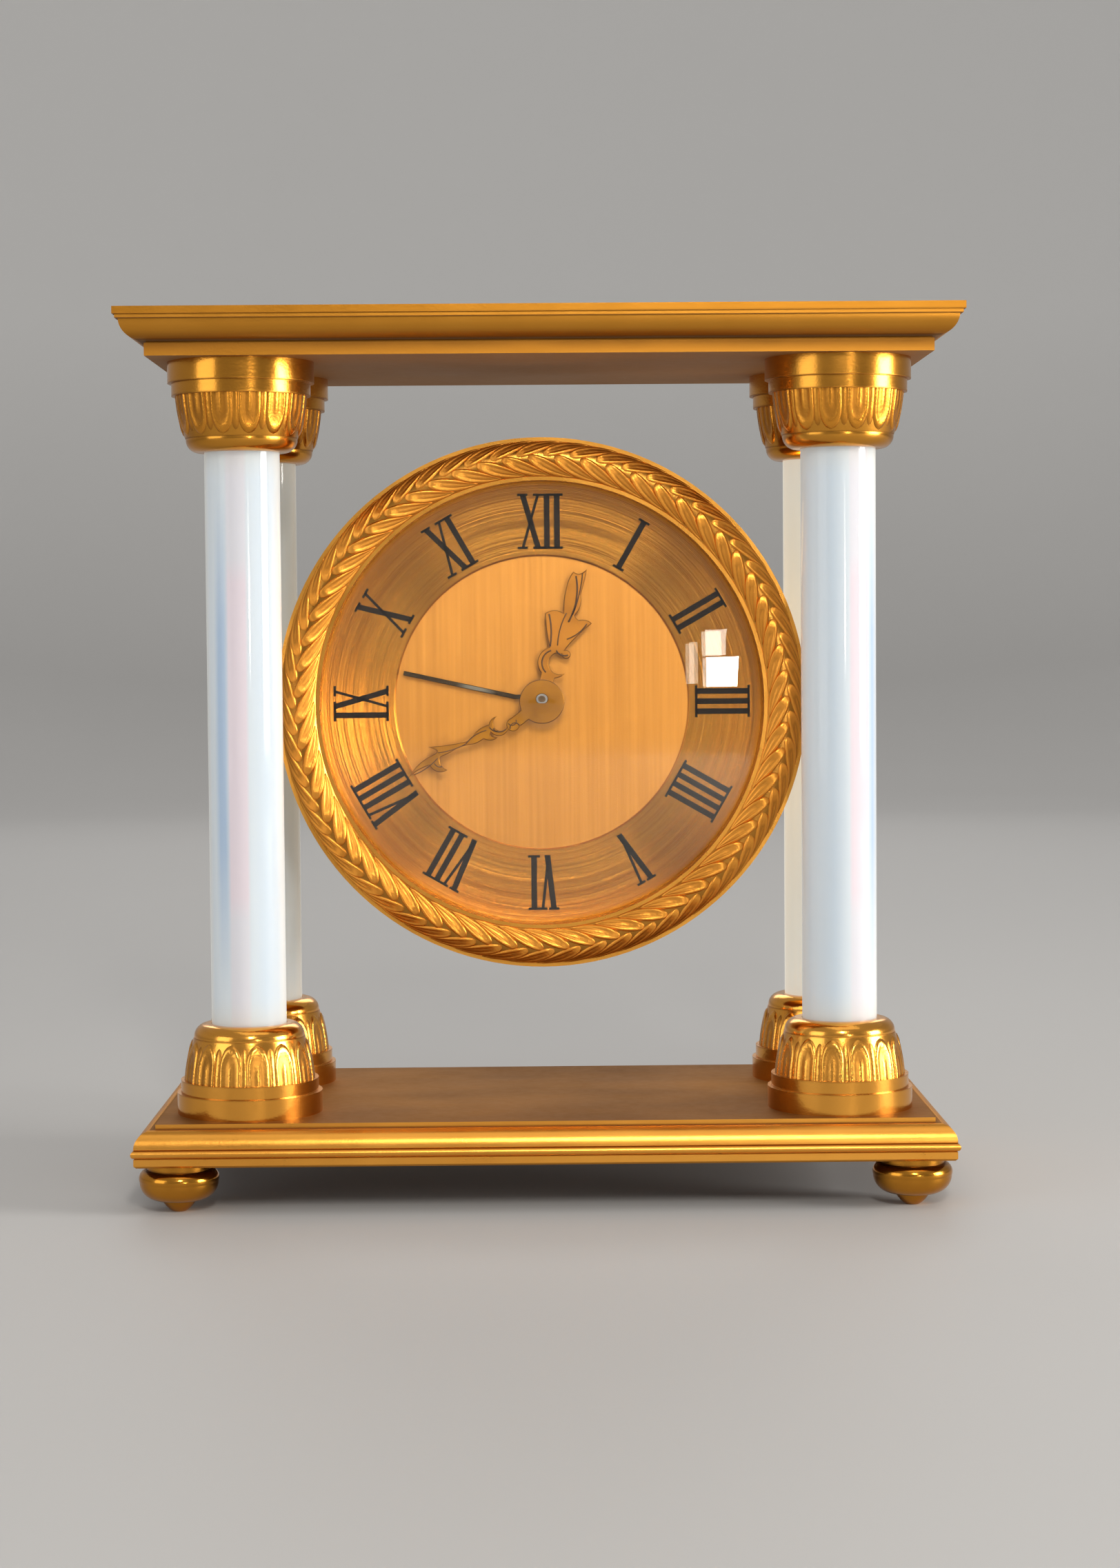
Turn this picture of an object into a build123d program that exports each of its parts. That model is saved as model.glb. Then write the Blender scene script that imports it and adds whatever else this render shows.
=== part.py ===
from build123d import *
import os
from math import cos, pi, radians, sin, sqrt

# Table clock in the form of a small portico: a gilt brass plinth on four turned feet, four opaline
# glass columns in brass cups, a moulded cornice, and a drum clock hung between the two rear columns.
# Sizes are in millimetres. +Z is up, the dial faces -Y, and the origin lies on the table under the middle.

# Frame: height of the order between the two flat tables, and the plan that follows the drum and the cups
order_height = 200.0
column_depth_span = 54.0
drum_side_gap = 4.85
cup_margin_side = 3.45
cup_margin_front = 2.3
foot_inset = 5.4

# Plinth moulding, from the bottom up: fillet, bead, ovolo and the arris of the table
plinth_fillet_reach = 5.2
plinth_fillet_height = 2.6
plinth_toe_chamfer = 0.6
plinth_bead_reach = 5.9
plinth_bead_height = 2.0
plinth_bead_relief = 0.95
plinth_quirk = 0.3
plinth_ovolo = 4.6
plinth_arris_step = 0.6
plinth_arris_height = 1.2
plinth_border = 12.0
plinth_table_thickness = 4.0

# Cornice moulding, from the bottom up: fillet, quirk, ovolo and ledge, then its separate top plate
cornice_fillet_height = 3.3
cornice_quirk = 0.5
cornice_ovolo = 5.3
cornice_ledge = 0.8
cornice_ledge_height = 1.0
cornice_border = 10.0
cornice_floor_thickness = 3.6
top_plate_thickness = 1.9
top_plate_reach = 7.2

# Turned foot, from the tip up: tip, bun and neck, with the bow of each curve
foot_tip_radius = 1.9
foot_tip_height = 3.2
foot_tip_bow = 0.3
foot_waist_radius = 4.7
foot_bun_height = 4.7
foot_bun_bow = 1.7
foot_radius = 10.4
foot_shoulder_height = 3.3
foot_shoulder_bow = 0.95
foot_neck_radius = 8.4
foot_neck_height = 1.8
foot_stud_radius = 2.0
foot_stud_length = 6.0

# Column order: the same cup serves as base and, turned over, as capital
cup_disc_radius = 19.4
cup_disc_height = 5.6
cup_band_radius = 18.4
cup_band_height = 3.4
cup_bell_radius = 17.0
cup_bell_waist = 14.9
cup_bell_height = 11.2
cup_bell_bow = 0.3
cup_lip_step = 0.12
cup_lip_height = 3.7
cup_mouth_radius = 11.4
cup_socket_depth = 3.4
column_radius = 10.0
column_wall = 3.0
socket_clearance = 0.15
tie_rod_radius = 2.5
tie_rod_clearance = 0.3
nut_across_flats = 8.0
nut_height = 3.2
washer_radius = 5.0
washer_thickness = 0.8
rod_end = 0.8

# Drum: axis height, and levels counted forward from the front face of the movement's front plate
drum_axis_height = 132.4
case_radius = 64.5
case_wall = 2.0
case_rear_space = 9.0
seat_ring_width = 5.0
dial_gap = 1.0
dial_thickness = 1.2
chapter_thickness = 0.8
chapter_inner_radius = 40.0
spacer_height = 5.2
spacer_wall = 2.2
crystal_rim_thickness = 1.7
crystal_rise = 4.0
crystal_thickness = 1.6
fit_gap = 0.05
loose_gap = 0.1

# Bezel, which stands out past the case and covers the edge of the crystal
bezel_overhang = 7.3
bezel_rim_width = 1.0
bezel_rim_depth = 3.0
bezel_cover = 2.3
bezel_lip_width = 1.0
bezel_lip_thickness = 2.7
bezel_wreath_relief = 2.6
bezel_skirt_length = 8.0
bezel_skirt_wall = 2.5

# Hands
hand_thickness = 0.6
hand_gap = 0.7
minute_hand_angle = 240.9
minute_hand_length = 42.0
minute_hub_radius = 6.1
hour_hand_angle = 15.8
hour_hand_length = 38.4
hour_hub_radius = 5.8
alarm_hand_angle = 282.5
alarm_hand_length = 38.6
alarm_hand_width = 1.2
alarm_hub_radius = 4.4

# Bore of case that the wheels and places of the movement are drawn for; they grow and shrink with the case
movement_design_bore = 62.5

# Movement plates
front_plate_thickness = 2.0
plate_spacing = 16.0
back_plate_thickness = 2.0
back_plate_margin = 12.5
pillar_inset = 4.0
pillar_radius = 2.6
pillar_count = 4
pillar_first_angle = 20.0
screw_radius = 1.2
screw_head_radius = 2.3
screw_head_height = 1.4
screw_reach = 4.0
pivot_gap = 0.05
end_shake = 0.2

# Tooth form shared by all wheels and pinions, as shares of the module and of the tooth pitch
wheel_addendum = 0.8
wheel_dedendum = 0.7
wheel_root_share = 0.33
wheel_tip_share = 0.12
pinion_addendum = 0.45
pinion_dedendum = 1.05
pinion_root_share = 0.26
pinion_tip_share = 0.13

# Motion work under the dial
motion_tooth_size = 0.55
cannon_teeth = 10
minute_wheel_teeth = 30
minute_pinion_teeth = 8
hour_wheel_teeth = 32
minute_stud_angle = 140.0
minute_stud_radius = 0.8
motion_gap = 0.6
pinion_overhang = 0.4
wheel_thickness = 1.0
centre_arbor_radius = 1.0
cannon_pipe_radius = 1.55
pipe_wall = 0.55

# Alarm setting pair
alarm_tooth_size = 0.65
alarm_wheel_teeth = 40
alarm_pinion_teeth = 10
alarm_set_angle = 340.0
alarm_arbor_radius = 1.2
alarm_collar_step = 1.0

# Going train
barrel_tooth_size = 0.8
barrel_teeth = 48
centre_pinion_teeth = 8
barrel_angle = 125.0
barrel_drum_step = 1.8
barrel_height = 7.6
barrel_rim_height = 2.0
winding_arbor_radius = 2.4
barrel_core_step = 0.6
barrel_shoulder_step = 1.2
train_gap = 1.4
ratchet_gap = 0.6
centre_tooth_size = 0.6
centre_wheel_teeth = 40
third_pinion_teeth = 8
third_angle = 250.0
third_wheel_teeth = 40
third_tooth_size = 0.5
train_arbor_radius = 1.4
train_pivot_radius = 0.6
crossing_count = 4
crossing_width = 2.0
rim_width = 1.6
wheel_hub_radius = 3.2
ratchet_radius = 8.0
ratchet_teeth = 20
ratchet_depth = 0.9

# Escapement platform with its balance
platform_distance = 33.6
platform_radius = 10.0
platform_height = 9.0
balance_radius = 6.5
balance_rim = 1.2
balance_height = 1.0
balance_gap = 1.2
balance_pivot_depth = 2.0
cock_post_distance = 8.4
cock_post_radius = 1.3
cock_thickness = 1.4
cock_width = 4.0

# Alarm work
alarm_barrel_x = 24.0
alarm_barrel_y = 20.0
alarm_barrel_radius = 12.5
hammer_inset = 17.6
hammer_bearing = -32.3
hammer_angle = 40.0
hammer_arm_length = 20.0
hammer_arm_width = 3.0
hammer_head_radius = 4.0
hammer_thickness = 3.0
stop_inset = 4.6
stop_bearing = 82.4
stop_rod_radius = 1.2
stop_cap_radius = 3.0
stop_cap_height = 3.4
stop_travel = 2.5

# Back cover, keys and knobs
cover_thickness = 1.5
cover_ledge_width = 2.4
cover_ledge_depth = 2.0
cover_screw_count = 3
cover_hole_gap = 0.5
knob_gap = 1.2
knob_radius = 4.8
knob_length = 7.0
knob_flutes = 20
knob_flute_depth = 0.45
key_hub_radius = 3.4
key_hub_length = 5.0
key_wing_radius = 4.8
key_wing_offset = 6.2
key_wing_thickness = 1.8
key_eye_radius = 1.9
key_wing_sink = 2.0
key_cap_thickness = 1.5

# Brackets that hold the drum on the rear columns
bracket_height = 22.0
collar_wall = 3.4
collar_split = 1.0
lug_reach = 7.0
lug_thickness = 5.0
pad_front = 13.0
pad_back = 28.0
bracket_screw_radius = 1.3
bracket_screw_head = 2.4
bracket_screw_head_height = 1.8
bracket_screw_length = 10.0
bracket_screw_rise = 6.5
bracket_screw_depth = 19.0

# Places worked out from the sizes above
column_span = 2 * (case_radius + drum_side_gap + column_radius)
table_length = column_span + 2 * (cup_disc_radius + cup_margin_side)
table_depth = column_depth_span + 2 * (cup_disc_radius + cup_margin_front)
foot_height = foot_tip_height + foot_bun_height + foot_shoulder_height + foot_neck_height
plinth_bead_top = plinth_fillet_height + plinth_bead_height
plinth_ovolo_top = plinth_bead_top + plinth_quirk + plinth_ovolo
plinth_height = plinth_ovolo_top + plinth_arris_height
plinth_top = foot_height + plinth_height
cup_height = cup_disc_height + cup_band_height + cup_bell_height + cup_lip_height
cornice_bottom = plinth_top + order_height
cornice_shoulder = cornice_fillet_height + cornice_quirk + cornice_ovolo
cornice_casting_height = cornice_shoulder + cornice_ledge_height
cornice_top = cornice_bottom + cornice_casting_height + top_plate_thickness
quarter_bow = 1 - sqrt(0.5)
corners = {
    "front_left": (-1, -1),
    "front_right": (1, -1),
    "rear_left": (-1, 1),
    "rear_right": (1, 1),
}
column_places = {
    name: (sx * column_span / 2, sy * column_depth_span / 2)
    for name, (sx, sy) in corners.items()
}
foot_places = {
    name: (sx * (table_length / 2 - foot_inset), sy * (table_depth / 2 - foot_inset))
    for name, (sx, sy) in corners.items()
}

# Drum parts are drawn in the dial's own frame: x to the right, y up, z forward out of the dial
drum = Plane(origin=(0, 0, drum_axis_height), x_dir=(1, 0, 0), z_dir=(0, -1, 0)).location
case_bore = case_radius - case_wall
bezel_radius = case_radius + bezel_overhang
bezel_opening_radius = case_bore - bezel_cover

# Levels of the motion work, forward of the front plate, and of the dial over it
cannon_back = motion_gap
cannon_front = cannon_back + wheel_thickness + pinion_overhang
hour_wheel_back = cannon_back + wheel_thickness + motion_gap
hour_wheel_front = hour_wheel_back + wheel_thickness
alarm_wheel_back = hour_wheel_front + motion_gap
alarm_wheel_front = alarm_wheel_back + wheel_thickness
dial_back = alarm_wheel_front + dial_gap
dial_front = dial_back + dial_thickness
chapter_front = dial_front + chapter_thickness
crystal_back = chapter_front + spacer_height
lip_back = crystal_back + crystal_rim_thickness + loose_gap
alarm_hand_back = chapter_front + hand_gap
hour_hand_back = alarm_hand_back + hand_thickness + hand_gap
minute_hand_back = hour_hand_back + hand_thickness + hand_gap
minute_hand_front = minute_hand_back + hand_thickness
hour_pipe_bore = cannon_pipe_radius + pivot_gap
hour_pipe_radius = hour_pipe_bore + pipe_wall
alarm_pipe_bore = hour_pipe_radius + pivot_gap
alarm_pipe_radius = alarm_pipe_bore + pipe_wall

# Levels of the plates and the going train, behind the front face of the front plate
plate_back = -front_plate_thickness
back_plate_front = plate_back - plate_spacing
back_plate_back = back_plate_front - back_plate_thickness
case_back_level = back_plate_back - case_rear_space
cover_back = case_back_level + fit_gap
cover_front = cover_back + cover_thickness
knob_front = case_back_level - knob_gap
barrel_front = plate_back - train_gap
barrel_back = barrel_front - barrel_height
barrel_rim_front = barrel_back + barrel_rim_height
centre_wheel_front = barrel_back - train_gap
centre_wheel_back = centre_wheel_front - wheel_thickness
third_wheel_front = centre_wheel_back - train_gap
third_wheel_back = third_wheel_front - wheel_thickness
platform_lid = plate_back - platform_height
balance_front = platform_lid - balance_gap
balance_back = balance_front - balance_height
cock_front = balance_back - balance_gap
cock_back = cock_front - cock_thickness

# Modules, centre distances of the meshed pairs, and where each arbor stands
movement_scale = case_bore / movement_design_bore
motion_module = motion_tooth_size * movement_scale
alarm_module = alarm_tooth_size * movement_scale
barrel_module = barrel_tooth_size * movement_scale
centre_module = centre_tooth_size * movement_scale
third_module = third_tooth_size * movement_scale
alarm_flange_radius = alarm_barrel_radius * movement_scale
centre_distance = (cannon_teeth + minute_wheel_teeth) * motion_module / 2
barrel_distance = (barrel_teeth + centre_pinion_teeth) * barrel_module / 2
third_distance = (centre_wheel_teeth + third_pinion_teeth) * centre_module / 2
alarm_distance = (alarm_wheel_teeth + alarm_pinion_teeth) * alarm_module / 2


def polar(distance, angle):
    """Point at a distance and an angle, in degrees from the dial's right-hand side."""
    return (distance * cos(radians(angle)), distance * sin(radians(angle)))


barrel_place = polar(barrel_distance, barrel_angle)
third_place = polar(third_distance, third_angle)
minute_stud_place = polar(centre_distance, minute_stud_angle)
alarm_set_place = polar(alarm_distance, alarm_set_angle)
alarm_barrel_place = (alarm_barrel_x * movement_scale, alarm_barrel_y * movement_scale)
platform_place = polar(platform_distance * movement_scale, third_angle)
back_plate_radius = case_bore - back_plate_margin
hammer_place = polar(case_bore - hammer_inset, hammer_bearing)
stop_place = polar(back_plate_radius - stop_inset, stop_bearing)
pillar_places = [
    polar(back_plate_radius - pillar_inset, pillar_first_angle + 360 / pillar_count * n)
    for n in range(pillar_count)
]
seat_screw_circle = case_bore - seat_ring_width / 2
seat_screw_places = [polar(seat_screw_circle, 45 + 90 * n) for n in range(4)]
cover_screw_circle = case_bore - cover_ledge_width
cover_screw_places = [
    polar(cover_screw_circle, 90 + 360 / cover_screw_count * n)
    for n in range(cover_screw_count)
]


def outline(*steps):
    """Closed face through (x, y) steps. A third value in a step bows the run that leads to it."""
    edges = []
    before = steps[-1]
    for step in steps:
        if len(step) == 3:
            edges.append(SagittaArc(before[:2], step[:2], step[2]))
        else:
            edges.append(Line(before[:2], step[:2]))
        before = step
    return make_face(edges)


def turned(*steps):
    """Solid of revolution about Z from an outline of (radius, height) steps."""
    return revolve(Plane.XZ * outline(*steps), Axis.Z)


def spindle(start, *steps):
    """Shaft about Z: each step is (radius, level where it ends), in order from the start level."""
    points = [(0, start)]
    level = start
    for radius, end in steps:
        points += [(radius, level), (radius, end)]
        level = end
    return turned(*points, (0, level))


def rod(radius, low, high):
    """Plain cylinder about Z between two levels."""
    return Pos(0, 0, low) * Cylinder(radius, high - low, align=(Align.CENTER, Align.CENTER, Align.MIN))


def sleeve(radius, bore, low, high):
    """Ring about Z between two levels."""
    return rod(radius, low, high) - rod(bore, low, high)


def drilled(solid, radius, places, low, high):
    """The solid with a hole through it at each place."""
    return solid - [Pos(*place) * rod(radius, low, high) for place in places]


def toothed(teeth, root, tip, root_share, tip_share, first_angle, low, high):
    """Toothed disc about Z with a tooth centred on first_angle, in degrees."""
    pitch = 360 / teeth
    points = []
    for n in range(teeth):
        middle = first_angle + n * pitch
        points.append(polar(root, middle - root_share * pitch))
        points.append(polar(tip, middle - tip_share * pitch))
        points.append(polar(tip, middle + tip_share * pitch))
        points.append(polar(root, middle + root_share * pitch))
    return extrude(Pos(0, 0, low) * make_face(Polyline(*points, close=True)), high - low)


def wheel(teeth, module, mate_angle, low, high):
    """Wheel with a tooth space turned towards its mate."""
    radius = teeth * module / 2
    root = radius - wheel_dedendum * module
    tip = radius + wheel_addendum * module
    return toothed(teeth, root, tip, wheel_root_share, wheel_tip_share, mate_angle + 180 / teeth, low, high)


def pinion(teeth, module, mate_angle, low, high):
    """Pinion with a tooth turned towards its mate."""
    radius = teeth * module / 2
    root = radius - pinion_dedendum * module
    tip = radius + pinion_addendum * module
    return toothed(teeth, root, tip, pinion_root_share, pinion_tip_share, mate_angle, low, high)


def crossings(rim_radius, low, high):
    """Windows that leave a wheel with arms between its hub and its rim."""
    window = Circle(rim_radius) - Circle(wheel_hub_radius)
    for n in range(crossing_count // 2):
        window -= Rot(0, 0, 360 / crossing_count * n) * Rectangle(3 * rim_radius, crossing_width)
    return extrude(Pos(0, 0, low) * window, high - low)


def both_ways(section, half_length, half_depth):
    """Moulded slab: the section run along its length and across its depth, with mitred corners."""
    along = extrude(Plane.YZ * section(half_depth), half_length * 2, both=True)
    across = extrude(Plane.XZ * section(half_length), half_depth * 2, both=True)
    return along & across


def mirrored(*steps):
    """Face made of an outline on the right of the axis and its mirror image on the left."""
    half = outline(*steps)
    return half + mirror(half, about=Plane.YZ)


# Turned foot with the stud that screws it to the plinth
def make_foot():
    belly = foot_tip_height + foot_bun_height
    return turned(
        (0, 0),
        (foot_tip_radius, 0),
        (foot_waist_radius, foot_tip_height, -foot_tip_bow),
        (foot_radius, belly, -foot_bun_bow),
        (foot_neck_radius, belly + foot_shoulder_height, -foot_shoulder_bow),
        (foot_neck_radius, foot_height),
        (foot_stud_radius, foot_height),
        (foot_stud_radius, foot_height + foot_stud_length),
        (0, foot_height + foot_stud_length),
    )


# Plinth: a moulded casting with a relieved underside
def plinth_section(half):
    bead_base = plinth_bead_reach - plinth_bead_relief
    return mirrored(
        (0, 0),
        (half + plinth_fillet_reach - plinth_toe_chamfer, 0),
        (half + plinth_fillet_reach, plinth_toe_chamfer),
        (half + plinth_fillet_reach, plinth_fillet_height - plinth_quirk),
        (half + bead_base, plinth_fillet_height),
        (half + bead_base, plinth_bead_top, -plinth_bead_relief),
        (half + plinth_arris_step + plinth_ovolo, plinth_bead_top + plinth_quirk),
        (half + plinth_arris_step, plinth_ovolo_top, -plinth_ovolo * quarter_bow),
        (half, plinth_ovolo_top),
        (half, plinth_height),
        (0, plinth_height),
    )


def make_plinth():
    slab = both_ways(plinth_section, table_length / 2, table_depth / 2)
    pocket = Box(
        table_length - 2 * plinth_border,
        table_depth - 2 * plinth_border,
        plinth_height - plinth_table_thickness,
        align=(Align.CENTER, Align.CENTER, Align.MIN),
    )
    rod_hole = tie_rod_radius + tie_rod_clearance
    slab = drilled(slab - pocket, rod_hole, column_places.values(), 0, plinth_height)
    slab = drilled(slab, foot_stud_radius + fit_gap, foot_places.values(), 0, foot_stud_length + rod_end)
    return Pos(0, 0, foot_height) * slab


# Cornice: a moulded casting, hollow above and closed by a thin top plate
def cornice_section(half):
    ovolo_bottom = cornice_fillet_height + cornice_quirk
    ovolo_reach = cornice_quirk + cornice_ovolo
    return mirrored(
        (0, 0),
        (half, 0),
        (half, cornice_fillet_height),
        (half - cornice_quirk, cornice_fillet_height),
        (half - cornice_quirk, ovolo_bottom),
        (half + cornice_quirk, ovolo_bottom),
        (half + ovolo_reach, cornice_shoulder, -cornice_ovolo * quarter_bow),
        (half + ovolo_reach + cornice_ledge, cornice_shoulder),
        (half + ovolo_reach + cornice_ledge, cornice_casting_height),
        (0, cornice_casting_height),
    )


def make_cornice():
    slab = both_ways(cornice_section, table_length / 2, table_depth / 2)
    pocket = Pos(0, 0, cornice_floor_thickness) * Box(
        table_length - 2 * cornice_border,
        table_depth - 2 * cornice_border,
        cornice_casting_height,
        align=(Align.CENTER, Align.CENTER, Align.MIN),
    )
    rod_hole = tie_rod_radius + tie_rod_clearance
    slab = drilled(slab - pocket, rod_hole, column_places.values(), 0, cornice_casting_height)
    return Pos(0, 0, cornice_bottom) * slab


def make_top_plate():
    plate = Box(
        table_length + 2 * top_plate_reach,
        table_depth + 2 * top_plate_reach,
        top_plate_thickness,
        align=(Align.CENTER, Align.CENTER, Align.MAX),
    )
    return Pos(0, 0, cornice_top) * plate


# Column order: brass cup with a socket for the glass, glass tube, and the rod that ties it all together
def make_cup():
    bell_foot = cup_disc_height + cup_band_height
    bell_top = bell_foot + cup_bell_height
    socket_floor = cup_height - cup_socket_depth
    socket_radius = column_radius + socket_clearance
    rod_hole = tie_rod_radius + tie_rod_clearance
    return turned(
        (rod_hole, 0),
        (cup_disc_radius, 0),
        (cup_disc_radius, cup_disc_height),
        (cup_band_radius, cup_disc_height),
        (cup_band_radius, bell_foot),
        (cup_bell_radius, bell_foot),
        (cup_bell_waist, bell_top, -cup_bell_bow),
        (cup_bell_waist - cup_lip_step, bell_top),
        (cup_mouth_radius, cup_height, -cup_lip_height * quarter_bow),
        (socket_radius, cup_height),
        (socket_radius, socket_floor),
        (rod_hole, socket_floor),
    )


def make_column():
    low = plinth_top + cup_height - cup_socket_depth
    high = cornice_bottom - cup_height + cup_socket_depth
    return sleeve(column_radius, column_radius - column_wall, low, high)


nut_stack = washer_thickness + nut_height + rod_end
rod_low = plinth_top - plinth_table_thickness - nut_stack
rod_high = cornice_bottom + cornice_floor_thickness + nut_stack


def make_nut_and_washer(level, direction):
    """Washer and nut on the slab face at a level, stacked along the direction (+1 up, -1 down)."""
    hexagon = RegularPolygon(nut_across_flats / 2, 6, major_radius=False) - Circle(tie_rod_radius)
    nut = extrude(hexagon, nut_height)
    nut = Pos(0, 0, washer_thickness if direction > 0 else -washer_thickness - nut_height) * nut
    washer_low, washer_high = sorted((0, direction * washer_thickness))
    washer = sleeve(washer_radius, tie_rod_radius + fit_gap, washer_low, washer_high)
    return [Pos(0, 0, level) * washer, Pos(0, 0, level) * nut]


# Drum case: a tube with an inner ring that seats the dial in front and the movement behind
def make_case():
    tube = sleeve(case_radius, case_bore, case_back_level, crystal_back)
    seat = sleeve(case_bore, case_bore - seat_ring_width, 0, dial_back)
    ledge_front = cover_front + cover_ledge_depth
    ledge = sleeve(case_bore, case_bore - 2 * cover_ledge_width, cover_front, ledge_front)
    case = tube + seat + ledge
    case = drilled(case, screw_radius + fit_gap, seat_screw_places, 0, screw_reach)
    case = drilled(case, screw_radius + fit_gap, cover_screw_places, cover_front, ledge_front)
    holes = [
        Pos(side * case_radius, height, -bracket_screw_depth) * Rot(0, 90, 0)
        * Cylinder(bracket_screw_radius + fit_gap, case_radius / 2)
        for side in (-1, 1)
        for height in (-bracket_screw_rise, bracket_screw_rise)
    ]
    return case - holes


def make_bezel():
    skirt_bore = case_radius + fit_gap
    skirt_radius = skirt_bore + bezel_skirt_wall
    rim_front = crystal_back + bezel_rim_depth
    wreath_outer = bezel_radius - bezel_rim_width
    wreath_inner = bezel_opening_radius + bezel_lip_width
    lip_front = lip_back + bezel_lip_thickness
    seat_radius = case_bore
    return turned(
        (skirt_bore, crystal_back - bezel_skirt_length),
        (skirt_radius, crystal_back - bezel_skirt_length),
        (skirt_radius, crystal_back - loose_gap),
        (bezel_radius - bezel_rim_width, crystal_back),
        (bezel_radius, crystal_back + bezel_rim_width),
        (bezel_radius, rim_front),
        (wreath_outer, rim_front),
        (wreath_inner, lip_front - loose_gap, -bezel_wreath_relief),
        (wreath_inner, lip_front),
        (bezel_opening_radius, lip_front),
        (bezel_opening_radius, lip_back),
        (seat_radius, lip_back),
        (seat_radius, crystal_back),
        (skirt_bore, crystal_back),
    )


def dome(radius, base, rise):
    """Ball that passes through a circle of the radius at the base level and stands up by the rise."""
    ball_radius = (radius ** 2 + rise ** 2) / (2 * rise)
    return Pos(0, 0, base + rise - ball_radius) * Sphere(ball_radius)


def make_crystal():
    rim_front = crystal_back + crystal_rim_thickness
    dome_radius = bezel_opening_radius - loose_gap
    hollow_rise = crystal_rise + crystal_rim_thickness - crystal_thickness
    above = rim_front + 2 * crystal_rise
    rim = rod(case_bore - loose_gap, crystal_back, rim_front)
    cap = dome(dome_radius, rim_front, crystal_rise) & rod(dome_radius, rim_front, above)
    hollow = dome(dome_radius, crystal_back, hollow_rise) & rod(dome_radius, crystal_back, above)
    return rim + cap - hollow


def make_spacer_ring():
    outer = case_bore - fit_gap
    return sleeve(outer, outer - spacer_wall, chapter_front, crystal_back)


def make_dial_plate():
    return sleeve(case_bore - fit_gap, alarm_pipe_radius + loose_gap, dial_back, dial_front)


def make_chapter_ring():
    ring = sleeve(case_bore - fit_gap, chapter_inner_radius, dial_front, chapter_front)
    inner_edge = ring.edges().filter_by(GeomType.CIRCLE).group_by(SortBy.RADIUS)[0].sort_by(Axis.Z)[-1]
    return chamfer(inner_edge, chapter_thickness / 2)


def make_back_cover():
    cover = rod(case_bore - fit_gap, cover_back, cover_front)
    holes = {
        (0, 0): centre_arbor_radius,
        barrel_place: winding_arbor_radius,
        alarm_barrel_place: winding_arbor_radius,
        alarm_set_place: alarm_arbor_radius,
        stop_place: stop_rod_radius,
    }
    for place, radius in holes.items():
        cover = drilled(cover, radius + cover_hole_gap, [place], cover_back, cover_front)
    return drilled(cover, screw_radius + fit_gap, cover_screw_places, cover_back, cover_front)


def make_screw(head_back, length):
    """Cheese-head screw along the drum's axis, driven from behind: the head ends at head_back."""
    head_front = head_back + screw_head_height
    return spindle(head_back, (screw_head_radius, head_front), (screw_radius, head_front + length))


# Movement plates, with pillars between them
arbor_pivots = {
    (0, 0): centre_arbor_radius,
    barrel_place: winding_arbor_radius,
    alarm_barrel_place: winding_arbor_radius,
    alarm_set_place: alarm_arbor_radius,
    third_place: train_pivot_radius,
    hammer_place: train_pivot_radius,
}


def make_front_plate():
    plate = rod(case_bore - loose_gap, plate_back, 0)
    for place, radius in arbor_pivots.items():
        plate = drilled(plate, radius + pivot_gap, [place], plate_back, 0)
    plate = drilled(plate, screw_radius + fit_gap, seat_screw_places + pillar_places, plate_back, 0)
    return plate + Pos(*minute_stud_place) * rod(minute_stud_radius, 0, hour_wheel_front + motion_gap / 2)


def make_back_plate():
    plate = rod(back_plate_radius, back_plate_back, back_plate_front)
    for place, radius in arbor_pivots.items():
        plate = drilled(plate, radius + pivot_gap, [place], back_plate_back, back_plate_front)
    plate = drilled(plate, stop_rod_radius + pivot_gap, [stop_place], back_plate_back, back_plate_front)
    return drilled(plate, screw_radius + fit_gap, pillar_places, back_plate_back, back_plate_front)


def make_pillar():
    pillar = spindle(0, (screw_radius, plate_back), (pillar_radius, back_plate_front))
    return pillar - rod(screw_radius + fit_gap, back_plate_front, back_plate_front + screw_reach)


# Centre arbor with its pinion and wheel, and the motion work that it drives
def make_centre_arbor():
    shaft = spindle(
        minute_hand_front + hand_thickness,
        (centre_arbor_radius, plate_back - end_shake),
        (train_arbor_radius, back_plate_front + end_shake),
        (centre_arbor_radius, knob_front - knob_length),
    )
    leaves = pinion(centre_pinion_teeth, barrel_module, barrel_angle,
                    barrel_back - pinion_overhang, barrel_rim_front + pinion_overhang)
    disc = wheel(centre_wheel_teeth, centre_module, third_angle, centre_wheel_back, centre_wheel_front)
    rim = (centre_wheel_teeth / 2 - wheel_dedendum) * centre_module - rim_width
    return shaft + leaves + (disc - crossings(rim, centre_wheel_back, centre_wheel_front))


def make_cannon_pinion():
    pipe = rod(cannon_pipe_radius, cannon_back, minute_hand_back + hand_thickness)
    leaves = pinion(cannon_teeth, motion_module, minute_stud_angle, cannon_back, cannon_front)
    return pipe + leaves - rod(centre_arbor_radius, 0, minute_hand_front + hand_thickness)


def make_minute_wheel():
    to_centre = minute_stud_angle + 180
    wheel_front = cannon_back + wheel_thickness
    disc = wheel(minute_wheel_teeth, motion_module, to_centre, cannon_back, wheel_front)
    pinion_front = hour_wheel_front + motion_gap / 2
    leaves = pinion(minute_pinion_teeth, motion_module, to_centre, wheel_front, pinion_front)
    bore = rod(minute_stud_radius + pivot_gap, 0, dial_back)
    return Pos(*minute_stud_place) * (disc + leaves - bore)


def make_hour_wheel():
    disc = wheel(hour_wheel_teeth, motion_module, minute_stud_angle, hour_wheel_back, hour_wheel_front)
    pipe = rod(hour_pipe_radius, hour_wheel_back, hour_hand_back + hand_thickness)
    return disc + pipe - rod(hour_pipe_bore, 0, minute_hand_back)


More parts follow.
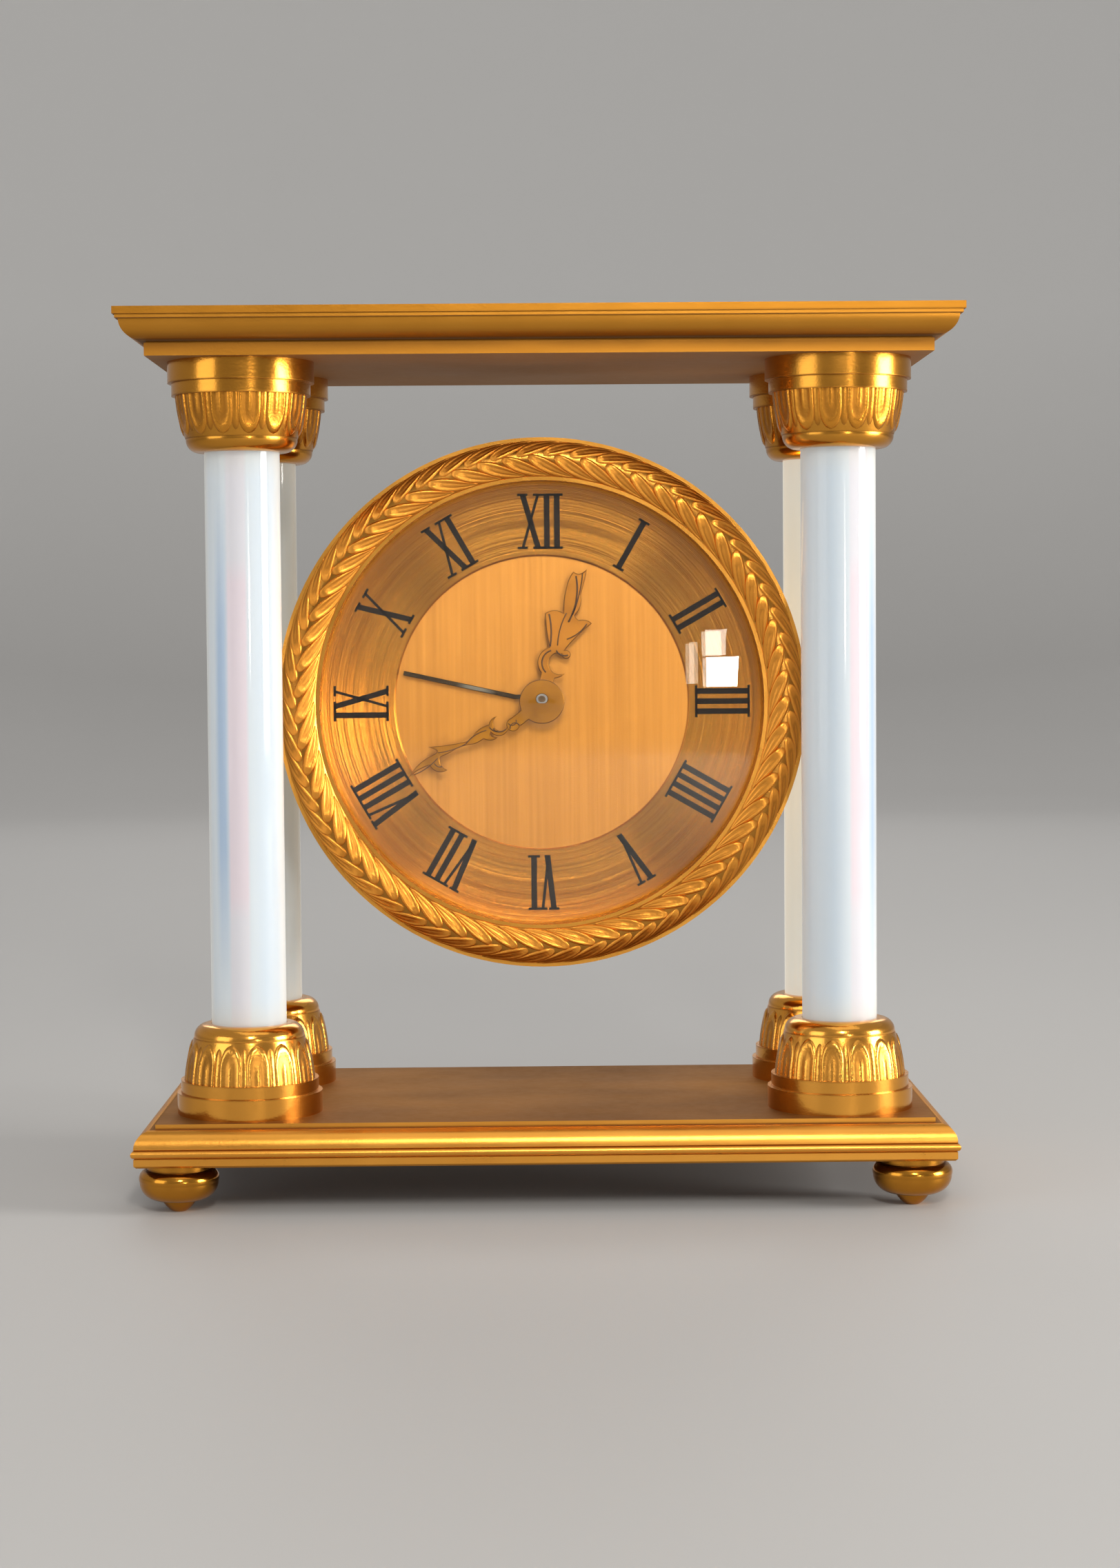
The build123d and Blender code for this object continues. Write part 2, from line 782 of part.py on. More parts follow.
def make_alarm_wheel():
    disc = wheel(alarm_wheel_teeth, alarm_module, alarm_set_angle, alarm_wheel_back, alarm_wheel_front)
    pipe = rod(alarm_pipe_radius, alarm_wheel_back, alarm_hand_back + hand_thickness)
    return disc + pipe - rod(alarm_pipe_bore, 0, hour_hand_back)


def make_alarm_set_arbor():
    shaft = spindle(
        alarm_wheel_front + motion_gap / 2,
        (alarm_arbor_radius, knob_front - knob_length),
    )
    leaves = pinion(alarm_pinion_teeth, alarm_module, alarm_set_angle + 180,
                    alarm_wheel_back - motion_gap / 2, alarm_wheel_front + motion_gap / 2)
    collar_front = plate_back - end_shake
    collar = rod(alarm_arbor_radius + alarm_collar_step, collar_front - alarm_collar_step, collar_front)
    return Pos(*alarm_set_place) * (shaft + leaves + collar)


# Going barrel, its winding arbor and the third wheel
barrel_core_radius = winding_arbor_radius + barrel_core_step


def make_going_barrel():
    drum_radius = barrel_teeth * barrel_module / 2 - barrel_drum_step
    drum_wall = rod(drum_radius, barrel_rim_front, barrel_front)
    rim = wheel(barrel_teeth, barrel_module, barrel_angle + 180, barrel_back, barrel_rim_front)
    bore = rod(barrel_core_radius + pivot_gap, barrel_back, barrel_front)
    return Pos(*barrel_place) * (drum_wall + rim - bore)


def make_alarm_barrel():
    flange = rod(alarm_flange_radius, barrel_back, barrel_rim_front)
    drum_wall = rod(alarm_flange_radius - rim_width, barrel_rim_front, barrel_front)
    bore = rod(barrel_core_radius + pivot_gap, barrel_back, barrel_front)
    return Pos(*alarm_barrel_place) * (flange + drum_wall - bore)


def make_winding_arbor(place):
    """Barrel arbor with its two shoulders, and the ratchet wheel behind the back plate."""
    shoulder = barrel_core_radius + barrel_shoulder_step
    ratchet_front = back_plate_back - ratchet_gap
    shaft = spindle(
        0,
        (winding_arbor_radius, plate_back - end_shake),
        (shoulder, barrel_front + end_shake),
        (barrel_core_radius, barrel_back - end_shake),
        (shoulder, back_plate_front + end_shake),
        (winding_arbor_radius, knob_front - key_hub_length),
    )
    ratchet = toothed(ratchet_teeth, ratchet_radius - ratchet_depth, ratchet_radius, 0.45, 0.05, 0,
                      ratchet_front - wheel_thickness, ratchet_front)
    return Pos(*place) * (shaft + ratchet)


def make_third_wheel():
    shaft = spindle(
        0,
        (train_pivot_radius, plate_back - end_shake),
        (train_arbor_radius, back_plate_front + end_shake),
        (train_pivot_radius, back_plate_back),
    )
    leaves = pinion(third_pinion_teeth, centre_module, third_angle + 180,
                    centre_wheel_back - pinion_overhang, centre_wheel_front + pinion_overhang)
    disc = wheel(third_wheel_teeth, third_module, 0, third_wheel_back, third_wheel_front)
    rim = (third_wheel_teeth / 2 - wheel_dedendum) * third_module - rim_width
    return Pos(*third_place) * (shaft + leaves + (disc - crossings(rim, third_wheel_back, third_wheel_front)))


# Escapement platform: closed can on the front plate, with the balance between its lid and a cock
def make_platform():
    can = rod(platform_radius, platform_lid, plate_back)
    post = Pos(0, -cock_post_distance) * rod(cock_post_radius, cock_back, platform_lid)
    arm = Pos(0, -cock_post_distance / 2, cock_back) * Box(
        cock_width,
        cock_post_distance + cock_width,
        cock_thickness,
        align=(Align.CENTER, Align.CENTER, Align.MIN),
    )
    pivot = rod(train_pivot_radius + pivot_gap, cock_back, platform_lid + balance_pivot_depth)
    return Pos(*platform_place) * (can + post + arm - pivot)


def make_balance():
    rim = sleeve(balance_radius, balance_radius - balance_rim, balance_back, balance_front)
    arm = Pos(0, 0, balance_back) * Box(2 * balance_radius - balance_rim, crossing_width, balance_height,
                                         align=(Align.CENTER, Align.CENTER, Align.MIN))
    staff = spindle(
        platform_lid + balance_pivot_depth - end_shake,
        (train_pivot_radius, platform_lid - end_shake),
        (train_arbor_radius, cock_front + end_shake),
        (train_pivot_radius, cock_back),
    )
    return Pos(*platform_place) * (rim + arm + staff)


# Alarm hammer and the push rod that silences it
def make_hammer():
    middle = (plate_back + back_plate_front) / 2
    low = middle - hammer_thickness / 2
    arbor = spindle(
        0,
        (train_pivot_radius, plate_back - end_shake),
        (train_arbor_radius, back_plate_front + end_shake),
        (train_pivot_radius, back_plate_back),
    )
    arm = Pos(hammer_arm_length / 2, 0, low) * Box(hammer_arm_length, hammer_arm_width, hammer_thickness,
                                                    align=(Align.CENTER, Align.CENTER, Align.MIN))
    head = rod(hammer_head_radius, low - hammer_thickness, low + 2 * hammer_thickness)
    head = Pos(hammer_arm_length, 0) * head
    return Pos(*hammer_place) * (arbor + Rot(0, 0, hammer_angle) * (arm + head))


def make_stop_button():
    cap_front = case_back_level - stop_travel - loose_gap
    button = spindle(
        back_plate_front + stop_travel,
        (stop_rod_radius, cap_front),
        (stop_cap_radius, cap_front - stop_cap_height),
    )
    return Pos(*stop_place) * button


# Keys and knobs on the back
def make_knob(place, bore):
    low = knob_front - knob_length
    body = toothed(knob_flutes, knob_radius - knob_flute_depth, knob_radius, 0.4, 0.2, 0, low, knob_front)
    return Pos(*place) * (body - rod(bore, low, knob_front))


def make_key(place):
    hub_back = knob_front - key_hub_length
    wing_middle = hub_back - key_wing_radius + key_wing_sink
    lobes = Circle(key_wing_radius)
    wings = Rectangle(2 * key_wing_offset, key_wing_radius)
    for side in (-1, 1):
        wings += Pos(side * key_wing_offset, 0) * lobes
    for side in (-1, 1):
        wings -= Pos(side * key_wing_offset, 0) * Circle(key_eye_radius)
    blade = Pos(0, 0, wing_middle) * extrude(Plane.XZ * wings, key_wing_thickness / 2, both=True)
    blade = blade - rod(key_hub_radius, hub_back, knob_front)
    hub = sleeve(key_hub_radius, winding_arbor_radius, hub_back, knob_front)
    cap = rod(key_hub_radius, hub_back - key_cap_thickness, hub_back)
    return Pos(*place) * (hub + cap + blade)


# Hands, drawn pointing at XII as a hub and a pierced pattern of scrolls and leaves. The pattern's steps,
# bows and bosses are shares of the hand's length, first along the hand and then to its left
def stroke(length, *steps):
    """Face through the steps of a hand. A third value bows the run that leads to the step."""
    sized = [[share * length for share in step] for step in steps]
    return outline(*[(-left, along, *bow) for along, left, *bow in sized])


def boss(length, along, left, radius):
    """Round spot on a hand."""
    return Pos(-left * length, along * length) * Circle(radius * length)


def cut_hand(shape, bore, angle, back):
    """Hand of sheet metal, bored for its pipe and turned to its place on the dial."""
    blank = extrude(Pos(0, 0, back) * (shape - Circle(bore)), hand_thickness)
    return Rot(0, 0, -angle) * blank


def make_minute_hand():
    length = minute_hand_length
    pattern = stroke(length, (0.0952, -0.0238), (0.25, -0.0095), (0.25, 0.0619), (0.0952, 0.0571))
    pattern += boss(length, 0.2333, 0.031, 0.0429)
    pattern += boss(length, 0.319, -0.0071, 0.0643) - boss(length, 0.2976, -0.0167, 0.05)
    pattern += stroke(
        length,
        (0.3476, -0.0381),
        (0.4762, -0.0429, -0.0119),
        (0.5452, -0.0214, 0.0048),
        (0.7833, -0.1143, 0.006),
        (0.7452, -0.0643, 0.0024),
        (0.769, -0.0524, 0.0024),
        (1, 0, -0.0214),
        (0.8333, -0.0071, 0.0119),
        (0.7476, 0.0762, -0.0286),
        (0.7667, 0.0381, 0.0048),
        (0.7452, -0.019, 0.0095),
        (0.6429, -0.0143, -0.0024),
        (0.5143, 0.0167, 0.0071),
        (0.4429, 0.0167, -0.0024),
        (0.3571, 0.0524, -0.0167),
        (0.3952, 0.0143, 0.0071),
    )
    shape = Circle(minute_hub_radius) + pattern
    return cut_hand(shape, cannon_pipe_radius, minute_hand_angle, minute_hand_back)


def make_hour_hand():
    length = hour_hand_length
    pattern = stroke(length, (0.1042, -0.0469), (0.2135, -0.0365), (0.2135, 0.0625), (0.1042, 0.0573))
    pattern += boss(length, 0.2943, -0.0026, 0.112) - boss(length, 0.3021, -0.0495, 0.0781)
    pattern += boss(length, 0.375, -0.0755, 0.0312)
    pattern += stroke(
        length,
        (0.3646, 0.0365),
        (0.6146, 0.1458, 0.0078),
        (0.651, 0.0182, 0.0234),
        (0.8333, 0.0495, 0.0078),
        (0.9531, 0.0312, 0.0078),
        (0.9479, -0.013, -0.0026),
        (1, -0.0573, -0.0052),
        (0.8073, -0.0625, 0.0026),
        (0.6562, -0.0599, 0.0208),
        (0.6328, -0.0964, -0.0026),
        (0.6354, -0.1927, 0.013),
        (0.3646, -0.0417, -0.0104),
    )
    shape = Circle(hour_hub_radius) + pattern
    return cut_hand(shape, hour_pipe_radius, hour_hand_angle, hour_hand_back)


def make_alarm_hand():
    shape = Circle(alarm_hub_radius)
    shape += Pos(0, alarm_hand_length / 2) * Rectangle(alarm_hand_width, alarm_hand_length)
    return cut_hand(shape, alarm_pipe_radius, alarm_hand_angle, alarm_hand_back)


# Brackets: each is a saddle screwed to the case and a cap that closes it round a rear column
column_x, column_y = column_places["rear_right"]
collar_radius = column_radius + collar_wall


def collar_blank(low_x, high_x):
    """Collar with its two lugs round the right rear column, kept between two x planes."""
    lugs = Box(2 * lug_thickness + collar_split, 2 * (collar_radius + lug_reach), bracket_height)
    blank = Cylinder(collar_radius, bracket_height) + lugs
    keep = Pos((low_x + high_x) / 2, 0) * Box(high_x - low_x, 4 * collar_radius, bracket_height)
    return (blank & keep) - Cylinder(column_radius, bracket_height)


def make_bracket():
    pad_inner = sqrt(case_radius ** 2 - (bracket_height / 2) ** 2) - case_wall - column_x
    pad_outer = -collar_split / 2
    pad_place = Pos((pad_inner + pad_outer) / 2, (pad_front + pad_back) / 2 - column_y)
    pad = pad_place * Box(pad_outer - pad_inner, pad_back - pad_front, bracket_height)
    saddle = collar_blank(-2 * collar_radius, -collar_split / 2) + pad
    saddle -= Cylinder(column_radius, bracket_height)
    placed = Pos(column_x, column_y, drum_axis_height) * saddle
    drum_clear = Pos(0, 0, drum_axis_height) * Rot(90, 0, 0) * Cylinder(case_radius, 4 * case_radius)
    return placed - drum_clear - bracket_screw_set(0)


def make_clamp_cap():
    cap = Pos(column_x, column_y, drum_axis_height) * collar_blank(collar_split / 2, 2 * collar_radius)
    return cap - bracket_screw_set(fit_gap)


def side_screw(head_start, direction, gap):
    """Screw along X from the outer face of its head, driven in the direction (+1 or -1)."""
    shape = spindle(
        0,
        (bracket_screw_head + gap, bracket_screw_head_height),
        (bracket_screw_radius + gap, bracket_screw_head_height + bracket_screw_length),
    )
    return Pos(*head_start) * Rot(0, direction * 90, 0) * shape


def bracket_screw_set(gap):
    """Screws of the right-hand bracket: two close the clamp and two hold the saddle to the case."""
    lug_face = column_x + collar_split / 2 + lug_thickness
    lug_middle = collar_radius + lug_reach / 2
    inner_face = sqrt(case_bore ** 2 - (bracket_screw_rise + bracket_screw_head) ** 2)
    screws = []
    for side in (-1, 1):
        start = (lug_face + bracket_screw_head_height, column_y + side * lug_middle, drum_axis_height)
        screws.append(side_screw(start, -1, gap))
        height = drum_axis_height + side * bracket_screw_rise
        start = (inner_face - bracket_screw_head_height, bracket_screw_depth, height)
        screws.append(side_screw(start, 1, gap))
    return screws


# Assembly: every node's name and its solid or group of solids
def in_drum(shape):
    return drum * shape


def to_left(shape):
    return mirror(shape, about=Plane.YZ)


nodes = {"plinth": make_plinth(), "cornice": make_cornice(), "top_plate": make_top_plate()}
foot = make_foot()
cup = make_cup()
capital = Rot(180, 0, 0) * cup
column = make_column()
for name in corners:
    nodes["foot_" + name] = Pos(*foot_places[name]) * foot
    nodes["base_cup_" + name] = Pos(*column_places[name], plinth_top) * cup
    nodes["column_" + name] = Pos(*column_places[name]) * column
    nodes["capital_" + name] = Pos(*column_places[name], cornice_bottom) * capital
tie_rod = rod(tie_rod_radius, rod_low, rod_high)
nodes["tie_rods"] = [Pos(*place) * tie_rod for place in column_places.values()]
nodes["tie_rod_nuts"] = [
    Pos(*place) * piece
    for place in column_places.values()
    for piece in make_nut_and_washer(plinth_top - plinth_table_thickness, -1)
    + make_nut_and_washer(cornice_bottom + cornice_floor_thickness, 1)
]
nodes["bracket_right"] = make_bracket()
nodes["clamp_cap_right"] = make_clamp_cap()
nodes["bracket_left"] = to_left(nodes["bracket_right"])
nodes["clamp_cap_left"] = to_left(nodes["clamp_cap_right"])
right_screws = bracket_screw_set(0)
nodes["bracket_screws"] = right_screws + [to_left(screw) for screw in right_screws]

drum_nodes = {
    "drum_case": make_case(),
    "bezel": make_bezel(),
    "crystal": make_crystal(),
    "spacer_ring": make_spacer_ring(),
    "dial_plate": make_dial_plate(),
    "chapter_ring": make_chapter_ring(),
    "back_cover": make_back_cover(),
    "front_plate": make_front_plate(),
    "back_plate": make_back_plate(),
    "centre_arbor": make_centre_arbor(),
    "cannon_pinion": make_cannon_pinion(),
    "minute_wheel": make_minute_wheel(),
    "hour_wheel": make_hour_wheel(),
    "alarm_wheel": make_alarm_wheel(),
    "alarm_set_arbor": make_alarm_set_arbor(),
    "going_barrel": make_going_barrel(),
    "winding_arbor": make_winding_arbor(barrel_place),
    "third_wheel": make_third_wheel(),
    "escapement_platform": make_platform(),
    "balance_wheel": make_balance(),
    "alarm_barrel": make_alarm_barrel(),
    "alarm_winding_arbor": make_winding_arbor(alarm_barrel_place),
    "alarm_hammer": make_hammer(),
    "alarm_stop_button": make_stop_button(),
    "hand_set_knob": make_knob((0, 0), centre_arbor_radius),
    "alarm_set_knob": make_knob(alarm_set_place, alarm_arbor_radius),
    "winding_key": make_key(barrel_place),
    "alarm_winding_key": make_key(alarm_barrel_place),
    "minute_hand": make_minute_hand(),
    "hour_hand": make_hour_hand(),
    "alarm_hand": make_alarm_hand(),
}
for name, shape in drum_nodes.items():
    nodes[name] = in_drum(shape)
pillar = make_pillar()
nodes["pillars"] = [in_drum(Pos(*place) * pillar) for place in pillar_places]
plate_screw = make_screw(back_plate_back - screw_head_height, back_plate_thickness + screw_reach)
seat_screw = make_screw(plate_back - screw_head_height, front_plate_thickness + screw_reach)
nodes["movement_screws"] = [in_drum(Pos(*place) * plate_screw) for place in pillar_places]
nodes["movement_screws"] += [in_drum(Pos(*place) * seat_screw) for place in seat_screw_places]
cover_screw = make_screw(cover_back - screw_head_height, cover_thickness + cover_ledge_depth)
nodes["back_cover_screws"] = [in_drum(Pos(*place) * cover_screw) for place in cover_screw_places]

os.makedirs("parts", exist_ok=True)
for name, shape in nodes.items():
    solids = shape if isinstance(shape, list) else [shape]
    group = Compound(children=[solid for piece in solids for solid in piece.solids()])
    export_step(group, f"parts/{name}.step")
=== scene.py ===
import math

import bmesh
import bpy
from mathutils import Matrix, Vector


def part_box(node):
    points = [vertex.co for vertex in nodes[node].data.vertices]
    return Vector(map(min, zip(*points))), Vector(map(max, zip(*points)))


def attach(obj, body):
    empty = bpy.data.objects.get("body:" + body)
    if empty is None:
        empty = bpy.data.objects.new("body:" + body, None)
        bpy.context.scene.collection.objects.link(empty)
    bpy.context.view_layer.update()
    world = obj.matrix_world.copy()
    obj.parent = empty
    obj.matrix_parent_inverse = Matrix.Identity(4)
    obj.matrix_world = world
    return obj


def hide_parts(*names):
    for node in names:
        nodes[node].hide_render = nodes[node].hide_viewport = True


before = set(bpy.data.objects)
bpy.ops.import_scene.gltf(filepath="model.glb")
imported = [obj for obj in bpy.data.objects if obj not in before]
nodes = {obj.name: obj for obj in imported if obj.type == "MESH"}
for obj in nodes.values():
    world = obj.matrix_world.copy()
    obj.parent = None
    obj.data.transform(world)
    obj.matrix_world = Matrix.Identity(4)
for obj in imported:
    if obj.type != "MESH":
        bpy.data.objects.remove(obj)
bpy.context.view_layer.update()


# Plinth, cornice and top plate. Heavy brass slabs, cast, planed and gilded, with a run moulding on all
# four sides. The flats are left satin and coloured a darker brown, and the quirks hold old wax and painted
# shade. Cornice and top plate are browner all over, and the cornice's soffit and upper fascia darker still,
# all as painted shade.
MM = 0.001


class Wire:
    """One output of a finish's nodes. Python's operators on it add Math nodes."""

    def __init__(self, finish, socket):
        self.finish = finish
        self.socket = socket

    def __add__(self, other):
        return self.finish.math("ADD", self, other)

    def __sub__(self, other):
        return self.finish.math("SUBTRACT", self, other)

    def __rsub__(self, other):
        return self.finish.math("SUBTRACT", other, self)

    def __mul__(self, other):
        return self.finish.math("MULTIPLY", self, other)

    def __truediv__(self, other):
        return self.finish.math("DIVIDE", self, other)

    def __pow__(self, other):
        return self.finish.math("POWER", self, other)

    def __abs__(self):
        return self.finish.math("ABSOLUTE", self)

    __radd__ = __add__
    __rmul__ = __mul__

    def clamped(self):
        return self.finish.math("ADD", self, 0.0, use_clamp=True)


class Finish:
    """A procedural material: one Principled shader and the nodes that feed it."""

    def __init__(self, name, **sockets):
        self.material = bpy.data.materials.new(name)
        self.material.use_nodes = True
        self.tree = self.material.node_tree
        self.shader = self.tree.nodes["Principled BSDF"]
        self.set(**sockets)

    def feed(self, socket, value):
        if isinstance(value, Wire):
            self.tree.links.new(value.socket, socket)
        else:
            socket.default_value = value

    def set(self, **sockets):
        for name, value in sockets.items():
            self.feed(self.shader.inputs[name.replace("_", " ")], value)

    def node(self, kind, settings, sockets, out=0):
        made = self.tree.nodes.new(kind)
        for name, value in settings.items():
            setattr(made, name, value)
        for name, value in sockets.items():
            self.feed(made.inputs[name], value)
        return Wire(self, made.outputs[out])

    def math(self, operation, first, second=0.0, **settings):
        return self.node("ShaderNodeMath", {"operation": operation, **settings}, {0: first, 1: second})

    def mix(self, amount, first, second):
        """Mixes two colours. A Mix node takes its colours at sockets 6 and 7 and gives one at 2."""
        return self.node("ShaderNodeMix", {"data_type": "RGBA"}, {0: amount, 6: first, 7: second}, out=2)

    def place(self):
        return self.node("ShaderNodeTexCoord", {}, {}, out="Object")

    def parts(self, vector):
        split = self.node("ShaderNodeSeparateXYZ", {}, {"Vector": vector}).socket.node
        return [Wire(self, output) for output in split.outputs]

    def stretched(self, vector, x=1.0, y=1.0, z=1.0):
        return self.node("ShaderNodeMapping", {}, {"Vector": vector, "Scale": (x, y, z)})

    def noise(self, vector, scale, detail=3.0):
        return self.node("ShaderNodeTexNoise", {}, {"Vector": vector, "Scale": scale, "Detail": detail})

    def fine_grain(self, vector):
        return self.noise(vector, scale=1500.0, detail=2.0)

    def facing(self):
        return self.parts(self.node("ShaderNodeNewGeometry", {}, {}, out="True Normal"))

    def bump(self, height, distance, strength):
        return self.node(
            "ShaderNodeBump", {}, {"Height": height, "Distance": distance, "Strength": strength}
        )


def rgb(red, green, blue):
    return (red, green, blue, 1.0)


def dress(finish, *names):
    """Puts a finish on CAD nodes."""
    for name in names:
        for slot in nodes[name].material_slots:
            slot.material = finish.material


def seam(level, middle, half):
    """1 in the middle of a groove at one level and 0 past its half width."""
    return (1 - abs(level - middle) / half).clamped()


def past(level, start, steepness):
    """0 up to a start, and from there up to 1 at a steepness."""
    return ((level - start) * steepness).clamped()


GILT_BRIGHT = rgb(0.97, 0.46, 0.08)
GILT_DEEP = rgb(0.76, 0.32, 0.045)
# A browner gilt: painted shade on cornice, top plate and capitals, and the darker colour of the feet.
GILT_BROWNED_AND_SHADED = rgb(0.42, 0.165, 0.010)
PLINTH_FLAT_BROWN = rgb(0.18, 0.08, 0.026)
# Painted shade for the underside of the cornice.
SOFFIT_SHADE = rgb(0.29, 0.168, 0.085)
# Brown of old wax and painted shade in the seams.
WAX_AND_SHADE_BROWN = rgb(0.16, 0.062, 0.012)


def gilt(name, seams=(), flat_colour=None, flat_share=0.0, roughness=0.24, browned_and_shaded=0.0, wax_and_shade_share=1.0):
    """Gilded brass with cloudy tone and fine polish marks, old wax and painted shade in the seams, flats that
    face up or down in a colour of their own, and a browner tone that is painted shade on the upper parts.
    """
    finish = Finish(name, Metallic=1.0)
    spot = finish.place()
    cloud = finish.noise(spot, scale=38.0, detail=4.0)
    polish = finish.noise(finish.stretched(spot, z=9.0), scale=420.0, detail=2.0)
    colour = finish.mix(browned_and_shaded, finish.mix(cloud, GILT_DEEP, GILT_BRIGHT), GILT_BROWNED_AND_SHADED)
    rough = roughness + 0.16 * (cloud - 0.5) + 0.12 * (polish - 0.5)
    level = finish.parts(spot)[2]
    wax_and_shade = 0.0
    for middle, half in seams:
        wax_and_shade = wax_and_shade + seam(level, middle * MM, half * MM)
    if seams:
        wax_and_shade = (wax_and_shade * wax_and_shade_share * (0.55 + 0.6 * cloud)).clamped()
        colour = finish.mix(wax_and_shade, colour, WAX_AND_SHADE_BROWN)
        rough = rough + 0.25 * wax_and_shade
    # Flats that face up or down are coloured darker. On the cornice this is painted shade on the soffit.
    if flat_colour:
        flat = past(abs(finish.facing()[2]), start=0.95, steepness=20.0)
        rubbed = finish.noise(finish.stretched(spot, x=0.6, y=1.1), scale=26.0, detail=4.0)
        darker_flats = (flat * flat_share * (0.7 + 0.5 * rubbed)).clamped()
        colour = finish.mix(darker_flats, colour, flat_colour)
        rough = rough + 0.3 * flat
    finish.set(
        Base_Color=colour,
        Roughness=rough,
        Normal=finish.bump(finish.fine_grain(spot), distance=0.00005, strength=0.35),
    )
    return finish


# Grooves are given in millimetres, as height of the middle and half width.
PLINTH_SEAMS = [(15.55, 0.35), (17.6, 0.35), (22.55, 0.35), (13.1, 0.5)]
# The broad first seam of the cornice is painted shade across its upper fascia, under the overhang.
CORNICE_SEAMS = [(226.3, 3.6), (227.5, 0.4), (232.8, 0.25)]
TOP_PLATE_SEAMS = [(233.9, 0.4)]
plinth_gilt = gilt(
    "gilt_plinth", PLINTH_SEAMS, PLINTH_FLAT_BROWN, flat_share=0.95, roughness=0.32, wax_and_shade_share=0.6
)
plinth_gilt.set(Specular_Tint=rgb(0.90, 0.80, 0.70))
cornice_gilt = gilt(
    "gilt_cornice", CORNICE_SEAMS, SOFFIT_SHADE, flat_share=0.8, roughness=0.34, browned_and_shaded=0.6, wax_and_shade_share=0.8
)
top_plate_gilt = gilt(
    "gilt_top_plate", TOP_PLATE_SEAMS, PLINTH_FLAT_BROWN, flat_share=0.6, roughness=0.34, browned_and_shaded=0.75,
    wax_and_shade_share=0.4,
)
dress(plinth_gilt, "plinth")
dress(cornice_gilt, "cornice")
dress(top_plate_gilt, "top_plate")


# Feet. Small buns of gilded brass that taper to a blunt tip, turned and polished on a lathe. Each screws up
# into the plinth with its own stud. They are coloured a darker brown, and waist and neck hold old wax and
# painted shade.
CORNERS = ("front_left", "front_right", "rear_left", "rear_right")
FOOT_SEAMS = [(3.2, 0.5), (11.2, 0.6)]
foot_gilt = gilt("gilt_feet", FOOT_SEAMS, roughness=0.18, browned_and_shaded=0.65)
dress(foot_gilt, *[f"foot_{corner}" for corner in CORNERS])


# Cups and capitals. One turned brass cup serves as base and, turned over, as capital. The lathe leaves a
# disc, a band and a lip, and the bell between them is chased with a ring of lancet leaves and darts.
CUP_SEAMS = [(5.6, 0.35), (9.0, 0.5), (20.2, 0.3)]
PLINTH_TOP = 23.7
CORNICE_BOTTOM = 223.7
base_seams = [(PLINTH_TOP + level, half) for level, half in CUP_SEAMS]
capital_seams = [(CORNICE_BOTTOM - level, half) for level, half in CUP_SEAMS]
# The seams of cups and capitals hold old wax and painted shade, and the capitals' gilt is browner as painted
# shade.
base_gilt = gilt("gilt_base_cups", base_seams, roughness=0.18, wax_and_shade_share=0.5)
capital_gilt = gilt("gilt_capitals", capital_seams, roughness=0.2, browned_and_shaded=0.5, wax_and_shade_share=0.6)
dress(base_gilt, *[f"base_cup_{corner}" for corner in CORNERS])
dress(capital_gilt, *[f"capital_{corner}" for corner in CORNERS])

MERGE_DISTANCE = 1e-6
LEAF_COUNT = 14
BELL_FOOT_LEVEL = 9.0
BELL_HEIGHT = 11.2
BELL_FOOT_RADIUS = 17.0
BELL_WAIST_RADIUS = 14.9
BELL_BOW = 0.3
LEAF_RELIEF = 0.5
# Chasing runs from a leaf's middle to its edge, as steps of (share of the way, height of the metal).
LEAF = dict(
    grid=(12, 12),
    turn=0.0,
    half_width=3.25,
    tip=11.0,
    round_share=0.6,
    chasing=((0.0, 0.42), (0.17, 0.16), (0.5, 0.12), (0.67, 0.45), (0.84, 0.48), (1.0, -0.25)),
)
DART = dict(
    grid=(4, 8),
    turn=math.pi / LEAF_COUNT,
    half_width=1.5,
    tip=10.9,
    round_share=0.4,
    chasing=((0.0, 0.36), (0.5, 0.2), (1.0, -0.25)),
)


def between(steps, value):
    """Height at a value along a run of (value, height) steps."""
    for (low, low_height), (high, high_height) in zip(steps, steps[1:]):
        if value <= high:
            return low_height + (high_height - low_height) * (value - low) / (high - low)
    return steps[-1][1]


def leaf_sheet(across, along):
    """Square grid from -1 to 1 with a layer that remembers how high the chasing stands."""
    sheet = bmesh.new()
    bmesh.ops.create_grid(sheet, x_segments=across, y_segments=along, size=1.0)
    return sheet, sheet.verts.layers.float.new("relief")


def chased_leaf(grid, turn, half_width, tip, round_share, chasing):
    """One leaf on the bell, from its foot up to a round tip."""
    sheet, relief = leaf_sheet(*grid)
    straight = 1 - round_share
    for vert in sheet.verts:
        side = vert.co.x
        rise = (vert.co.y + 1) / 2
        over = max(0.0, rise - straight) / round_share
        arch = math.sqrt(max(0.0, 1 - over ** 2))
        edge = min(1.0, math.hypot(side * arch, over))
        level = tip * rise
        share = level / BELL_HEIGHT
        wall = BELL_FOOT_RADIUS + (BELL_WAIST_RADIUS - BELL_FOOT_RADIUS) * share
        wall += 4 * BELL_BOW * share * (1 - share)
        height = between(chasing, edge)
        angle = turn + side * arch * half_width / wall
        reach = wall + height
        vert[relief] = max(0.0, height) / LEAF_RELIEF
        vert.co = Vector((reach * math.cos(angle), reach * math.sin(angle), BELL_FOOT_LEVEL + level))
    return sheet


def join(target, source):
    """Moves one bmesh into another."""
    mesh = bpy.data.meshes.new("joined")
    source.to_mesh(mesh)
    source.free()
    target.from_mesh(mesh)
    bpy.data.meshes.remove(mesh)


def ring_of(source, count, axis):
    """Repeats a bmesh all the way round an axis."""
    bmesh.ops.spin(
        source,
        geom=source.verts[:] + source.edges[:] + source.faces[:],
        cent=(0, 0, 0),
        axis=axis,
        angle=2 * math.pi * (count - 1) / count,
        steps=count - 1,
        use_duplicate=True,
    )


